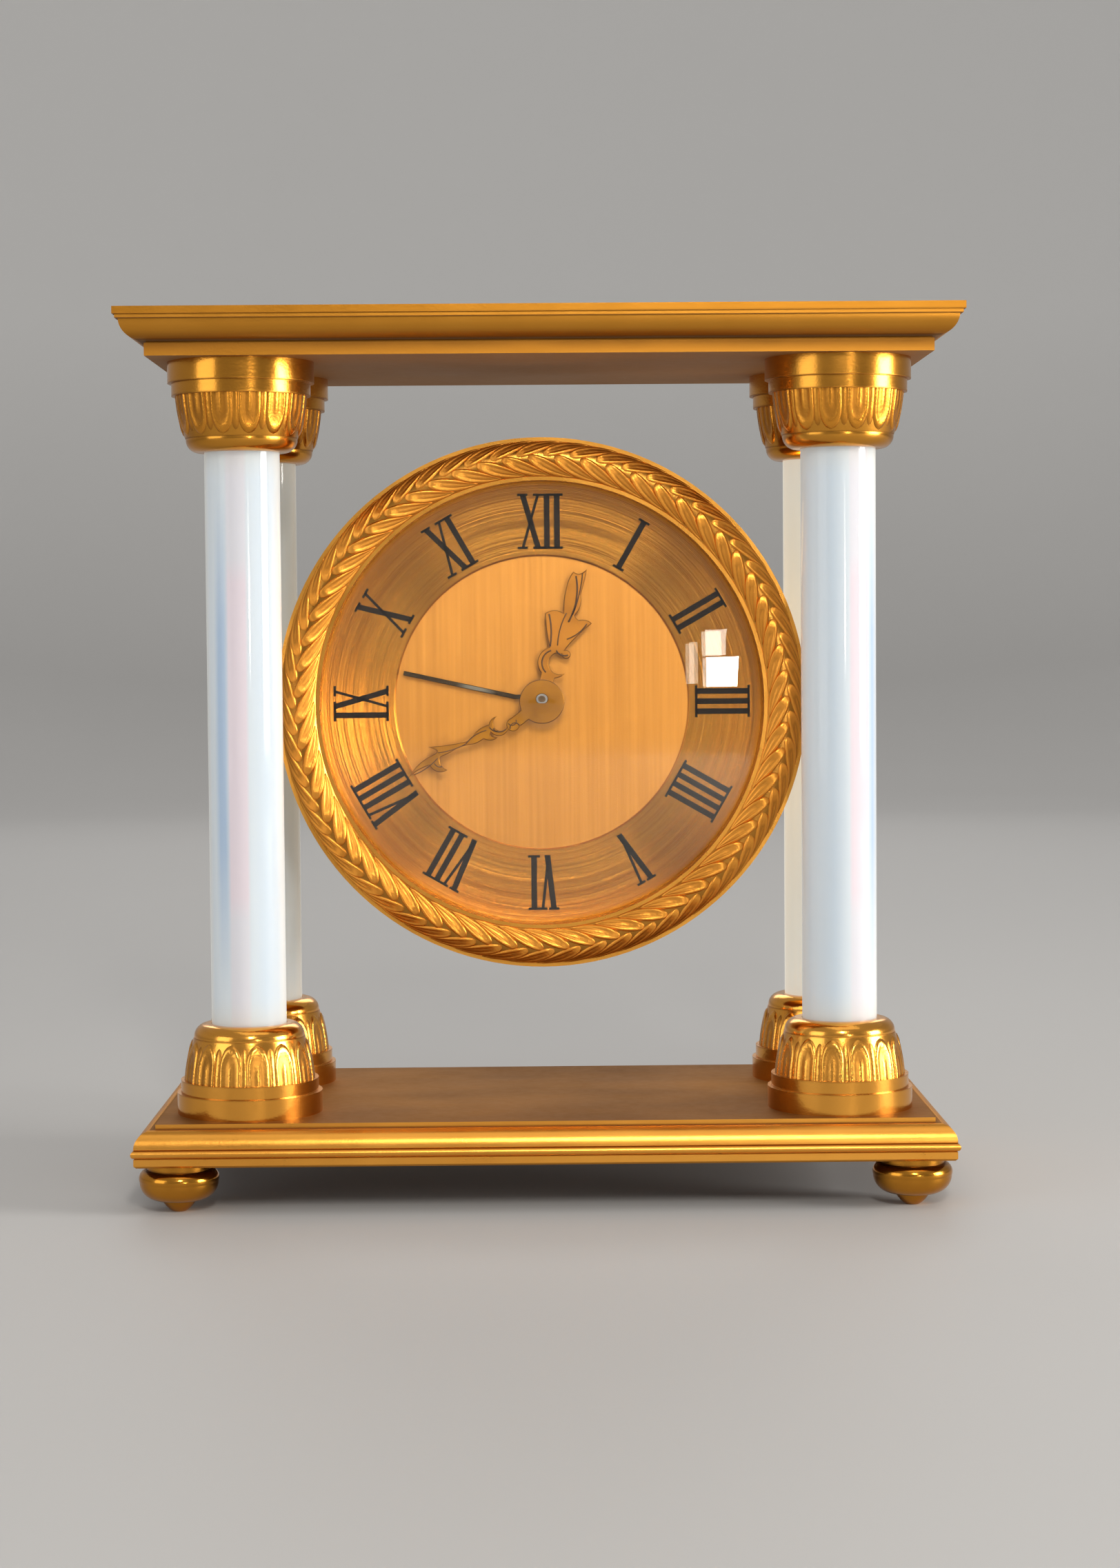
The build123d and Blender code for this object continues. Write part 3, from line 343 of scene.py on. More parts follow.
def seat(source, place):
    """Takes a bmesh drawn in millimetres to its place in metres."""
    bmesh.ops.translate(source, verts=source.verts, vec=place)
    bmesh.ops.scale(source, verts=source.verts, vec=(MM, MM, MM))


def make_piece(name, source, finish, body, smooth):
    """Makes the object of a bmesh in its finish and rides it on its body."""
    for face in source.faces:
        face.smooth = smooth
    mesh = bpy.data.meshes.new(name)
    source.to_mesh(mesh)
    source.free()
    mesh.materials.append(finish.material)
    piece = bpy.data.objects.new(name, mesh)
    bpy.context.scene.collection.objects.link(piece)
    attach(piece, body)
    return piece


def add_piece(name, source, finish, body, smooth=True):
    """Ends a bmesh of the scene's own: merges doubles, turns faces outwards and makes the object."""
    bmesh.ops.remove_doubles(source, verts=source.verts, dist=MERGE_DISTANCE)
    bmesh.ops.recalc_face_normals(source, faces=source.faces)
    make_piece(name, source, finish, body, smooth)


def chased_height(finish):
    """How high the metal stands, as the mesh remembers it."""
    return finish.node("ShaderNodeAttribute", {"attribute_name": "relief"}, {}, out="Fac")


# Brown of patina and painted shade in the low places of the chasing.
SUNK_PATINA_AND_SHADE = rgb(0.30, 0.12, 0.02)


def chased_gilt(name, deep, bright, roughness):
    """Gilding over chasing: bright on the high places, brown where the punch went down and round the leaves,
    which is patina and painted shade.
    """
    finish = Finish(name, Metallic=1.0)
    spot = finish.place()
    cloud = finish.noise(spot, scale=60.0, detail=4.0)
    punched = finish.noise(spot, scale=1400.0)
    sunk = (1.0 - chased_height(finish) * 1.6 - 0.25 * (cloud - 0.5)).clamped()
    finish.set(
        Base_Color=finish.mix(sunk * 0.85, finish.mix(cloud, deep, bright), SUNK_PATINA_AND_SHADE),
        Roughness=roughness + 0.25 * sunk + 0.12 * (cloud - 0.5),
        Normal=finish.bump(punched, distance=0.00012, strength=0.6),
    )
    return finish


# Darker leaf gilt for the capitals, which is painted shade.
CAPITAL_SHADED_DEEP = rgb(0.60, 0.23, 0.022)
CAPITAL_SHADED_BRIGHT = rgb(0.82, 0.345, 0.045)
base_leaf_gilt = chased_gilt("gilt_base_leaves", GILT_DEEP, GILT_BRIGHT, roughness=0.22)
capital_leaf_gilt = chased_gilt("gilt_capital_leaves", CAPITAL_SHADED_DEEP, CAPITAL_SHADED_BRIGHT, roughness=0.26)
COLUMN_X = 79.35
COLUMN_Y = 27.0
for corner in CORNERS:
    column_x = -COLUMN_X if "left" in corner else COLUMN_X
    column_y = -COLUMN_Y if "front" in corner else COLUMN_Y
    for node, floor_level, upright, leaf_gilt in (
        ("base_cup", PLINTH_TOP, 1, base_leaf_gilt),
        ("capital", CORNICE_BOTTOM, -1, capital_leaf_gilt),
    ):
        leaves = chased_leaf(**LEAF)
        join(leaves, chased_leaf(**DART))
        ring_of(leaves, LEAF_COUNT, axis=(0, 0, 1))
        bmesh.ops.scale(leaves, verts=leaves.verts, vec=(1, 1, upright))
        seat(leaves, (column_x, column_y, floor_level))
        add_piece(f"{node}_leaves_{corner}", leaves, leaf_gilt, "frame")


# Columns. Opaline glass tubes with polished ends, set in the cups and threaded on the tie rods. Milky glass
# is blue against dark and rosy where its core lets light through, and both are painted into its colour, in
# streaks drawn out along the tube. A pale painted sheen runs along the edges, and a painted reflection of the
# gilt cups lies near the ends. It carries light inside it, for which a mild glow of the material stands as
# painted light.
COLUMN_RADIUS = 10.0
HALF_IN_SIGHT = 80.0
MILK_DEEP = rgb(0.60, 0.66, 0.71)
MILK_PALE = rgb(0.72, 0.77, 0.80)
MILK_BLUE = rgb(0.55, 0.66, 0.77)
CORE_ROSE = rgb(0.76, 0.65, 0.70)
STREAK_BLUE = rgb(0.38, 0.51, 0.69)
EDGE_SHEEN_CREAM = rgb(0.80, 0.78, 0.72)
END_REFLECTION_TAN = rgb(0.67, 0.64, 0.53)
REAR_LEFT_LIGHT = rgb(0.38, 0.36, 0.30)
REAR_RIGHT_LIGHT = rgb(0.86, 0.82, 0.70)
DARK = rgb(0.0, 0.0, 0.0)


def short_of(level, end, steepness):
    """1 well below an end, and down to 0 at it at a steepness."""
    return ((end - level) * steepness).clamped()


opal = Finish("opaline_glass", Roughness=0.07, Specular_IOR_Level=0.25)
opal_spot = opal.place()
east, south, height = opal.parts(opal_spot)
rear = (south / MM).clamped()
on_right = (east / MM).clamped()
side = on_right * 2.0 - 1.0
outward = (abs(east) - COLUMN_X * MM) / (COLUMN_RADIUS * MM)
streaks = opal.noise(opal.stretched(opal_spot, z=0.03), scale=170.0)
wide_streaks = opal.noise(opal.stretched(opal_spot, z=0.04), scale=55.0, detail=2.0)
middle_height = (PLINTH_TOP + CORNICE_BOTTOM) / 2 * MM
from_middle = abs(height - middle_height) / (HALF_IN_SIGHT * MM)
from_core = outward - 0.28 - 0.17 * side + 0.16 * (wide_streaks - 0.5)
core_length = 0.45 + 0.55 * short_of(from_middle, end=0.6, steepness=12.0)
core = short_of(abs(from_core), end=0.3, steepness=12.0) * core_length
blue_length = (1.7 - 2.0 * from_middle).clamped()
blue = (seam(from_core + 0.14 * (streaks - 0.5), middle=0.42, half=0.19) * 1.5).clamped() * blue_length
inner_blue = seam(from_core + 0.2 * (streaks - 0.5), middle=-0.7, half=0.45)
edge_sheen = past(abs(outward), start=0.84, steepness=8.0)
ends = past(from_middle, start=0.86, steepness=6.0)
milk = opal.mix(streaks, MILK_DEEP, MILK_PALE)
milk = opal.mix(inner_blue * 0.5, milk, MILK_BLUE)
milk = opal.mix(core * 0.85, milk, CORE_ROSE)
milk = opal.mix(blue * 0.8, milk, STREAK_BLUE)
milk = opal.mix(edge_sheen * 0.6, milk, EDGE_SHEEN_CREAM)
milk = opal.mix(ends * 0.6, milk, END_REFLECTION_TAN)
# The glow is painted light: brighter in the rear columns than in the front ones, and brightest in the rear
# right one.
rear_light = opal.mix(on_right, REAR_LEFT_LIGHT, REAR_RIGHT_LIGHT)
opal.set(
    Base_Color=opal.mix(0.28, milk, DARK),
    Subsurface_Weight=0.8,
    Subsurface_Radius=(1.0, 0.95, 0.85),
    Subsurface_Scale=0.012,
    Emission_Color=opal.mix(rear, opal.mix(0.5, milk, DARK), rear_light),
    Emission_Strength=0.5,
    Normal=opal.bump(wide_streaks, distance=0.0004, strength=0.2),
)
dress(opal, *[f"column_{corner}" for corner in CORNERS])


# Tie rods, nuts and screws. The rods run through the columns and pull plinth and cornice together, with a
# washer and a nut at each end. All are plain turned steel, lightly oiled, with drawn lines along the rods.
STEEL_OILED = rgb(0.42, 0.41, 0.40)
STEEL_CLEAN = rgb(0.62, 0.61, 0.59)
steel = Finish("bright_steel", Metallic=1.0)
steel_spot = steel.place()
drawn = steel.noise(steel.stretched(steel_spot, z=0.05), scale=900.0, detail=2.0)
oil = steel.noise(steel_spot, scale=120.0)
steel.set(
    Base_Color=steel.mix(oil, STEEL_OILED, STEEL_CLEAN),
    Roughness=0.22 + 0.2 * oil,
    Normal=steel.bump(drawn, distance=0.00005, strength=0.4),
)
dress(steel, "tie_rods", "tie_rod_nuts", "bracket_screws", "back_cover_screws", "movement_screws")


# Brackets and clamp caps. Cast brass collars that clasp the two rear columns and carry the drum, filed
# and left a duller brown than the gilding.
BRACKET_TARNISHED = rgb(0.30, 0.16, 0.045)
BRACKET_CLEAN = rgb(0.62, 0.36, 0.10)
bracket_brass = Finish("bracket_brass", Metallic=1.0)
bracket_spot = bracket_brass.place()
cast = bracket_brass.noise(bracket_spot, scale=300.0, detail=4.0)
tarnish = bracket_brass.noise(bracket_spot, scale=55.0, detail=4.0)
bracket_brass.set(
    Base_Color=bracket_brass.mix(tarnish, BRACKET_TARNISHED, BRACKET_CLEAN),
    Roughness=0.34 + 0.2 * tarnish,
    Normal=bracket_brass.bump(cast, distance=0.0001, strength=0.6),
)
dress(bracket_brass, "bracket_left", "bracket_right", "clamp_cap_left", "clamp_cap_right")


# Drum case, back cover and spacer ring. Case and cover are spun from sheet brass and lacquered, and keep
# turning marks round the drum. The ring stands between dial and crystal and keeps them apart.
CASE_DEEP = rgb(0.66, 0.36, 0.085)
CASE_BRIGHT = rgb(0.88, 0.54, 0.16)
case_brass = Finish("case_brass", Metallic=1.0)
case_spot = case_brass.place()
case_cloud = case_brass.noise(case_spot, scale=42.0, detail=4.0)
turning = case_brass.noise(case_brass.stretched(case_spot, x=0.02, z=0.02), scale=1600.0, detail=2.0)
case_brass.set(
    Base_Color=case_brass.mix(case_cloud, CASE_DEEP, CASE_BRIGHT),
    Roughness=0.22 + 0.18 * case_cloud,
    Normal=case_brass.bump(turning, distance=0.00004, strength=0.5),
)
dress(case_brass, "drum_case", "back_cover", "spacer_ring")


# Bezel. A cast and gilded ring that presses over the drum, with a plain rim, a plain inner lip and between
# them a low round band. The band is chased as a wreath of laurel: leaves lie in from both edges, and their
# round tips meet on the crown of the band and point against the hours.
DIAL_HEIGHT = 132.4
BAND_MIDDLE = 66.0
BAND_HALF = 4.8
WREATH_BED_SHADE = rgb(0.42, 0.18, 0.03)


def from_dial_axis(finish, spot):
    """Distance from the axis that dial, bezel and hands share."""
    across, _, upward = finish.parts(spot)
    return ((across ** 2) + ((upward - DIAL_HEIGHT * MM) ** 2)) ** 0.5


bezel_gilt = Finish("gilt_bezel", Metallic=1.0)
bezel_spot = bezel_gilt.place()
# The band under the wreath is coloured dark brown, as painted shade beneath and between the laurel leaves.
wreath_bed_shade = seam(from_dial_axis(bezel_gilt, bezel_spot), BAND_MIDDLE * MM, BAND_HALF * MM) * 6.0
bezel_cloud = bezel_gilt.noise(bezel_spot, scale=60.0, detail=4.0)
bezel_tone = bezel_gilt.mix(bezel_cloud, GILT_DEEP, GILT_BRIGHT)
bezel_gilt.set(
    Base_Color=bezel_gilt.mix(wreath_bed_shade.clamped() * 0.9, bezel_tone, WREATH_BED_SHADE),
    Roughness=0.2 + 0.16 * bezel_cloud,
    Normal=bezel_gilt.bump(bezel_gilt.fine_grain(bezel_spot), distance=0.00006, strength=0.4),
)
dress(bezel_gilt, "bezel")

WREATH_ROWS = 59
BAND_ROUND = 5.82
BAND_AXIS_RADIUS = 65.55
BAND_AXIS_FORWARD = 13.49
BAND_TILT = math.radians(8.0)
BAND_REACH = 5.6
LAUREL_GRID = (10, 10)
LAUREL_BEND = 1.5
LAUREL_BELLY = 1.4
LAUREL_FULLNESS = 0.55
LAUREL_TIP_START = 0.6
LAUREL_SINK = 0.12
LAUREL_CHASING = ((0.0, 0.9), (0.2, 0.3), (0.4, 0.5), (0.6, 1.0), (0.8, 0.7), (1.0, -0.15))
# Start and end are places on the band, as (along, outward), and low and high the relief at either end.
INNER_LAUREL = dict(start=(-4.5, -5.0), end=(9.0, 0.5), half_width=2.05, low=0.4, high=0.95)
OUTER_LAUREL = dict(start=(-1.0, 5.0), end=(12.0, 0.3), half_width=1.95, low=0.4, high=0.72)


def laurel_leaf(start, end, half_width, low, high):
    """One leaf on the band, from a stalk that runs along the edge to a round tip."""
    sheet, relief = leaf_sheet(*LAUREL_GRID)
    reach_along = end[0] - start[0]
    reach_out = end[1] - start[1]
    for vert in sheet.verts:
        side = vert.co.x
        rise = (vert.co.y + 1) / 2
        width = 0.0
        if 0 < rise < 1:
            width = half_width * math.sin(math.pi * rise ** LAUREL_BELLY) ** LAUREL_FULLNESS
        run = Vector((reach_along, LAUREL_BEND * reach_out * rise ** (LAUREL_BEND - 1))).normalized()
        along = start[0] + reach_along * rise - run.y * side * width
        outward = start[1] + reach_out * rise ** LAUREL_BEND + run.x * side * width
        outward = max(-BAND_REACH, min(BAND_REACH, outward))
        edge = max(abs(side), (rise - LAUREL_TIP_START) / (1 - LAUREL_TIP_START))
        chasing = between(LAUREL_CHASING, edge)
        height = chasing * (low + (high - low) * rise) - LAUREL_SINK
        angle = BAND_TILT + outward / BAND_ROUND
        reach = BAND_AXIS_RADIUS + (BAND_ROUND + height) * math.sin(angle)
        forward = BAND_AXIS_FORWARD + (BAND_ROUND + height) * math.cos(angle)
        turn = along / BAND_MIDDLE
        vert[relief] = chasing
        vert.co = Vector((reach * math.cos(turn), -forward, reach * math.sin(turn)))
    return sheet


WREATH_DEEP = rgb(0.74, 0.28, 0.036)
WREATH_BRIGHT = rgb(0.97, 0.415, 0.066)
wreath = laurel_leaf(**INNER_LAUREL)
join(wreath, laurel_leaf(**OUTER_LAUREL))
ring_of(wreath, WREATH_ROWS, axis=(0, 1, 0))
seat(wreath, (0, 0, DIAL_HEIGHT))
wreath_gilt = chased_gilt("gilt_wreath", WREATH_DEEP, WREATH_BRIGHT, roughness=0.36)
add_piece("bezel_wreath", wreath, wreath_gilt, "frame")


# Crystal. A slumped dome of clear mineral glass with a ground rim, held under the lip of the bezel. Lamps
# shine straight through it, so that it lays no shadow on the dial.
crystal = Finish(
    "crystal_glass", Base_Color=rgb(1.0, 1.0, 1.0), Roughness=0.0, IOR=1.48, Transmission_Weight=1.0
)
lamp_ray = crystal.node("ShaderNodeLightPath", {}, {}, out="Is Shadow Ray")
clear = crystal.node("ShaderNodeBsdfTransparent", {}, {})
glass = Wire(crystal, crystal.shader.outputs["BSDF"])
shown = crystal.node("ShaderNodeMixShader", {}, {"Fac": lamp_ray, 1: glass, 2: clear})
crystal.feed(crystal.tree.nodes["Material Output"].inputs["Surface"], shown)
dress(crystal, "crystal")


# Dial plate. A disc of lacquered sheet brass that lies on a ring inside the case. It was rubbed up and down
# with fine emery, so it has a straight grain.
DIAL_DEEP = rgb(0.50, 0.20, 0.030)
DIAL_BRIGHT = rgb(0.74, 0.335, 0.064)
dial_brass = Finish("dial_brass", Metallic=1.0)
dial_spot = dial_brass.place()
emery = dial_brass.noise(dial_brass.stretched(dial_spot, z=0.02), scale=950.0)
broad_emery = dial_brass.noise(dial_brass.stretched(dial_spot, z=0.03), scale=260.0)
dial_cloud = dial_brass.noise(dial_spot, scale=30.0)
dial_tone = 0.5 + 0.8 * (emery - 0.5) + 0.15 * (broad_emery - 0.5) + 0.6 * (dial_cloud - 0.5)
dial_brass.set(
    Base_Color=dial_brass.mix(dial_tone.clamped(), DIAL_DEEP, DIAL_BRIGHT),
    Roughness=0.34 + 0.12 * broad_emery,
    Normal=dial_brass.bump(emery + 0.3 * broad_emery, distance=0.00006, strength=0.5),
)
dress(dial_brass, "dial_plate")


# Chapter ring. A raised brass ring with a bevelled inner edge, spun under emery, so that a very fine grain
# runs round the dial and catches the light in broad fans.
CHAPTER_DEEP = rgb(0.48, 0.195, 0.022)
CHAPTER_BRIGHT = rgb(0.67, 0.305, 0.042)
chapter_brass = Finish("chapter_brass", Metallic=1.0)
chapter_spot = chapter_brass.place()
from_centre = from_dial_axis(chapter_brass, chapter_spot)


def turned_lines(scale):
    """Noise that changes only with the distance from the middle of the dial."""
    sockets = {"W": from_centre, "Scale": scale}
    return chapter_brass.node("ShaderNodeTexNoise", {"noise_dimensions": "1D"}, sockets)


rings = turned_lines(scale=9000.0)
broad_rings = turned_lines(scale=500.0)
chapter_cloud = chapter_brass.noise(chapter_spot, scale=35.0)
chapter_tone = 0.5 * broad_rings + 0.5 * chapter_cloud
chapter_brass.set(
    Base_Color=chapter_brass.mix(chapter_tone, CHAPTER_DEEP, CHAPTER_BRIGHT),
    Roughness=0.16 + 0.06 * broad_rings,
    Normal=chapter_brass.bump(rings, distance=0.00009, strength=1.0),
)
dress(chapter_brass, "chapter_ring")


# Numerals. Twelve Roman hours in black dial paint, a little proud of the chapter ring, each standing on the
# centre. Thick and thin strokes with thin serifs, as a dial painter rules them.
PAINT_BLACK = rgb(0.006, 0.004, 0.002)
PAINT_FADED = rgb(0.016, 0.009, 0.005)
numeral_paint = Finish("numeral_paint", Specular_IOR_Level=0.06)
paint_cloud = numeral_paint.noise(numeral_paint.place(), scale=400.0)
numeral_paint.set(
    Base_Color=numeral_paint.mix(paint_cloud, PAINT_BLACK, PAINT_FADED),
    Roughness=0.5 + 0.2 * paint_cloud,
    Normal=numeral_paint.bump(paint_cloud, distance=0.00004, strength=0.4),
)
NUMERAL_FOOT = 41.9
NUMERAL_TOP = 56.9
CHAPTER_FRONT = 7.8
PAINT_HEIGHT = 0.07
THICK = 1.55
THIN = 0.75
SERIF = 0.62
OVERHANG = 0.85
SIGN_GAP = 0.1
SLANT_SERIF = THICK * 0.7
V_THICK_FOOT = 0.2
V_THIN_FOOT = -0.1
SIGN_WIDTHS = {"I": 2.75, "V": 5.0, "X": 6.2}
HOURS = ("XII", "I", "II", "III", "IIII", "V", "VI", "VII", "VIII", "IX", "X", "XI")


def bar(paint, foot, top, width, low=NUMERAL_FOOT, high=NUMERAL_TOP):
    """One painted stroke between two places across the numeral, as a slanted bar of little thickness."""
    slanted = Matrix((
        (width, 0, top - foot, (foot + top) / 2),
        (0, PAINT_HEIGHT, 0, -CHAPTER_FRONT - PAINT_HEIGHT / 2),
        (0, 0, high - low, (low + high) / 2),
        (0, 0, 0, 1),
    ))
    bmesh.ops.create_cube(paint, size=1.0, matrix=slanted)


def serif(paint, middle, width, at_top):
    low = NUMERAL_TOP - SERIF if at_top else NUMERAL_FOOT
    bar(paint, middle, middle, width + 2 * OVERHANG, low, low + SERIF)


def paint_hour(text):
    """The strokes of one hour, standing over the centre of the dial."""
    paint = bmesh.new()
    left = -sum(SIGN_WIDTHS[sign] for sign in text) / 2
    for sign in text:
        middle = left + SIGN_WIDTHS[sign] / 2
        half = SIGN_WIDTHS[sign] / 2 - OVERHANG - SIGN_GAP
        if sign == "I":
            bar(paint, middle, middle, THICK)
            serif(paint, middle, THICK, True)
            serif(paint, middle, THICK, False)
        if sign == "V":
            bar(paint, middle + V_THICK_FOOT, middle - half, THICK)
            bar(paint, middle + V_THIN_FOOT, middle + half, THIN)
            serif(paint, middle - half, SLANT_SERIF, True)
            serif(paint, middle + half, THIN, True)
        if sign == "X":
            bar(paint, middle + half, middle - half, THICK)
            bar(paint, middle - half, middle + half, THIN)
            for side in (-half, half):
                serif(paint, middle + side, SLANT_SERIF, True)
                serif(paint, middle + side, SLANT_SERIF, False)
        left += SIGN_WIDTHS[sign]
    return paint


numerals = bmesh.new()
for hour, text in enumerate(HOURS):
    paint = paint_hour(text)
    turn = Matrix.Rotation(hour * math.pi / 6, 3, "Y")
    bmesh.ops.rotate(paint, verts=paint.verts, cent=(0, 0, 0), matrix=turn)
    join(numerals, paint)
seat(numerals, (0, 0, DIAL_HEIGHT))
add_piece("numerals", numerals, numeral_paint, "frame", smooth=False)


# Movement. Plates, pillars, wheels and barrels of rolled brass, grained and lacquered, and arbors,
# pinions, hammer and winding squares of polished steel.
MOVEMENT_DEEP = rgb(0.70, 0.42, 0.12)
MOVEMENT_BRIGHT = rgb(0.90, 0.62, 0.22)
movement_brass = Finish("movement_brass", Metallic=1.0)
movement_spot = movement_brass.place()
plate_grain = movement_brass.noise(movement_brass.stretched(movement_spot, z=0.03), scale=1200.0, detail=2.0)
plate_cloud = movement_brass.noise(movement_spot, scale=70.0, detail=4.0)
movement_brass.set(
    Base_Color=movement_brass.mix(plate_cloud, MOVEMENT_DEEP, MOVEMENT_BRIGHT),
    Roughness=0.24 + 0.16 * plate_cloud,
    Normal=movement_brass.bump(plate_grain, distance=0.00004, strength=0.5),
)
dress(
    movement_brass,
    "front_plate", "back_plate", "pillars", "minute_wheel", "hour_wheel", "alarm_wheel", "going_barrel",
    "alarm_barrel", "third_wheel", "escapement_platform", "balance_wheel",
)
dress(
    steel,
    "cannon_pinion", "alarm_set_arbor", "winding_arbor", "alarm_winding_arbor", "alarm_hammer",
)


# Centre arbor. A turned steel arbor that runs through the movement and out of the dial. Its front end shows
# in the hub of the hands and has gone brown with oil.
ARBOR_BROWN = rgb(0.09, 0.055, 0.028)
ARBOR_PALE = rgb(0.25, 0.17, 0.10)
arbor_steel = Finish("arbor_steel", Metallic=1.0)
arbor_oil = arbor_steel.noise(arbor_steel.place(), scale=900.0)
arbor_steel.set(
    Base_Color=arbor_steel.mix(arbor_oil, ARBOR_BROWN, ARBOR_PALE),
    Roughness=0.4 + 0.2 * arbor_oil,
    Normal=arbor_steel.bump(arbor_oil, distance=0.00004, strength=0.5),
)
dress(arbor_steel, "centre_arbor")


# Hands. Minute and hour hand are sawn from sheet brass as scrolls and leaves, with browned faces and filed
# edges. The filed edges and sides are coloured dark brown as painted shade, and dark lines painted on the
# faces are painted shade between the parts of the scroll. The alarm hand is a plain blued steel needle, worn
# pale along its middle. All three press on to their pipes.
FILED_EDGE_SHADE = rgb(0.07, 0.026, 0.006)
FRONT_DEPTH = 0.01
CHAMFER_DEPTH = 0.15
MINUTE_CHAMFER = 0.2
HOUR_CHAMFER = 0.3
ALARM_CHAMFER = 0.2


def filed_hand(name, node, finish, body, chamfer):
    """Copy of a hand with its front edges filed down, which remembers where the file went."""
    hand = bmesh.new()
    hand.from_mesh(nodes[node].data)
    bmesh.ops.remove_doubles(hand, verts=hand.verts, dist=MERGE_DISTANCE)
    relief = hand.verts.layers.float.new("relief")
    hand.normal_update()
    face_level = min(vert.co.y for vert in hand.verts) + FRONT_DEPTH * MM
    front = [face for face in hand.faces if face.calc_center_median().y < face_level]
    bmesh.ops.inset_region(hand, faces=front, thickness=chamfer * MM, use_boundary=True)
    kept = {vert for face in front for vert in face.verts}
    for vert in hand.verts:
        if vert in kept:
            vert[relief] = 1.0
        elif vert.co.y < face_level:
            vert.co.y += CHAMFER_DEPTH * MM
    piece = make_piece(name, hand, finish, body, smooth=False)
    piece.data.attributes.remove(piece.data.attributes["custom_normal"])
    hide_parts(node)


def hand_brass(name, deep, bright):
    """Browned brass of a hand, cloudy on its face, with painted shade in dark brown where the file went."""
    finish = Finish(name, Metallic=1.0)
    spot = finish.place()
    cloud = finish.noise(spot, scale=160.0)
    filed = 1 - chased_height(finish)
    finish.set(
        Base_Color=finish.mix(filed, finish.mix(cloud, deep, bright), FILED_EDGE_SHADE),
        Roughness=0.26 + 0.2 * cloud + 0.25 * filed,
        Normal=finish.bump(finish.fine_grain(spot), distance=0.00005, strength=0.4),
    )
    return finish


minute_brass = hand_brass("minute_hand_brass", rgb(0.31, 0.12, 0.007), rgb(0.48, 0.20, 0.014))
hour_brass = hand_brass("hour_hand_brass", rgb(0.40, 0.15, 0.013), rgb(0.56, 0.225, 0.026))
filed_hand("minute_hand_filed", "minute_hand", minute_brass, "minute", MINUTE_CHAMFER)
filed_hand("hour_hand_filed", "hour_hand", hour_brass, "hour", HOUR_CHAMFER)

# Dark paint for lines on the hands' faces. It is painted shade between the parts of the scroll.
SHADE_LINE_DARK = rgb(0.045, 0.016, 0.004)
SHADE_LINE_PALE = rgb(0.11, 0.042, 0.010)
scroll_shade_paint = Finish("scroll_shade_paint", Specular_IOR_Level=0.2)
shade_line_grain = scroll_shade_paint.noise(scroll_shade_paint.place(), scale=2000.0, detail=2.0)
scroll_shade_paint.set(
    Base_Color=scroll_shade_paint.mix(shade_line_grain, SHADE_LINE_DARK, SHADE_LINE_PALE),
    Roughness=0.5 + 0.2 * shade_line_grain,
)
SHADE_LINE_HEIGHT = 0.02
SHADE_LINE_DEPTH = 0.05
SHADE_LINE_STEPS = 10
SORT_ALONG = Vector((1.0, 3.7, 11.3))
MINUTE_LENGTH = 42.0
MINUTE_ANGLE = math.radians(240.9)
HOUR_LENGTH = 38.4
HOUR_ANGLE = math.radians(15.8)
# Each line is an arc: start and end as shares (along, left) of the hand's length, bow as a share of it, and
# width in millimetres.
MINUTE_LINES = (
    ((0.2, 0.055), (0.262, 0.045), -0.036, 0.3),
    ((0.2, 0.012), (0.255, 0.008), 0.03, 0.3),
    ((0.29, 0.035), (0.375, -0.03), -0.022, 0.34),
    ((0.335, 0.018), (0.352, -0.012), -0.012, 0.3),
    ((0.4, -0.022), (0.56, -0.012), 0.014, 0.3),
    ((0.56, -0.012), (0.745, -0.05), -0.01, 0.26),
    ((0.765, -0.022), (0.95, -0.003), -0.012, 0.26),
    ((0.765, 0.04), (0.8, -0.002), -0.012, 0.26),
)
HOUR_LINES = (
    ((0.215, 0.03), (0.375, 0.035), -0.046, 0.42),
    ((0.385, 0.0), (0.375, -0.09), 0.018, 0.42),
    ((0.4, 0.05), (0.62, 0.118), 0.012, 0.5),
    ((0.42, 0.0), (0.66, 0.0), -0.014, 0.34),
    ((0.6, -0.03), (0.93, 0.005), 0.03, 0.5),
    ((0.66, -0.045), (0.96, -0.035), 0.012, 0.34),
    ((0.48, -0.05), (0.625, -0.16), 0.016, 0.34),
)


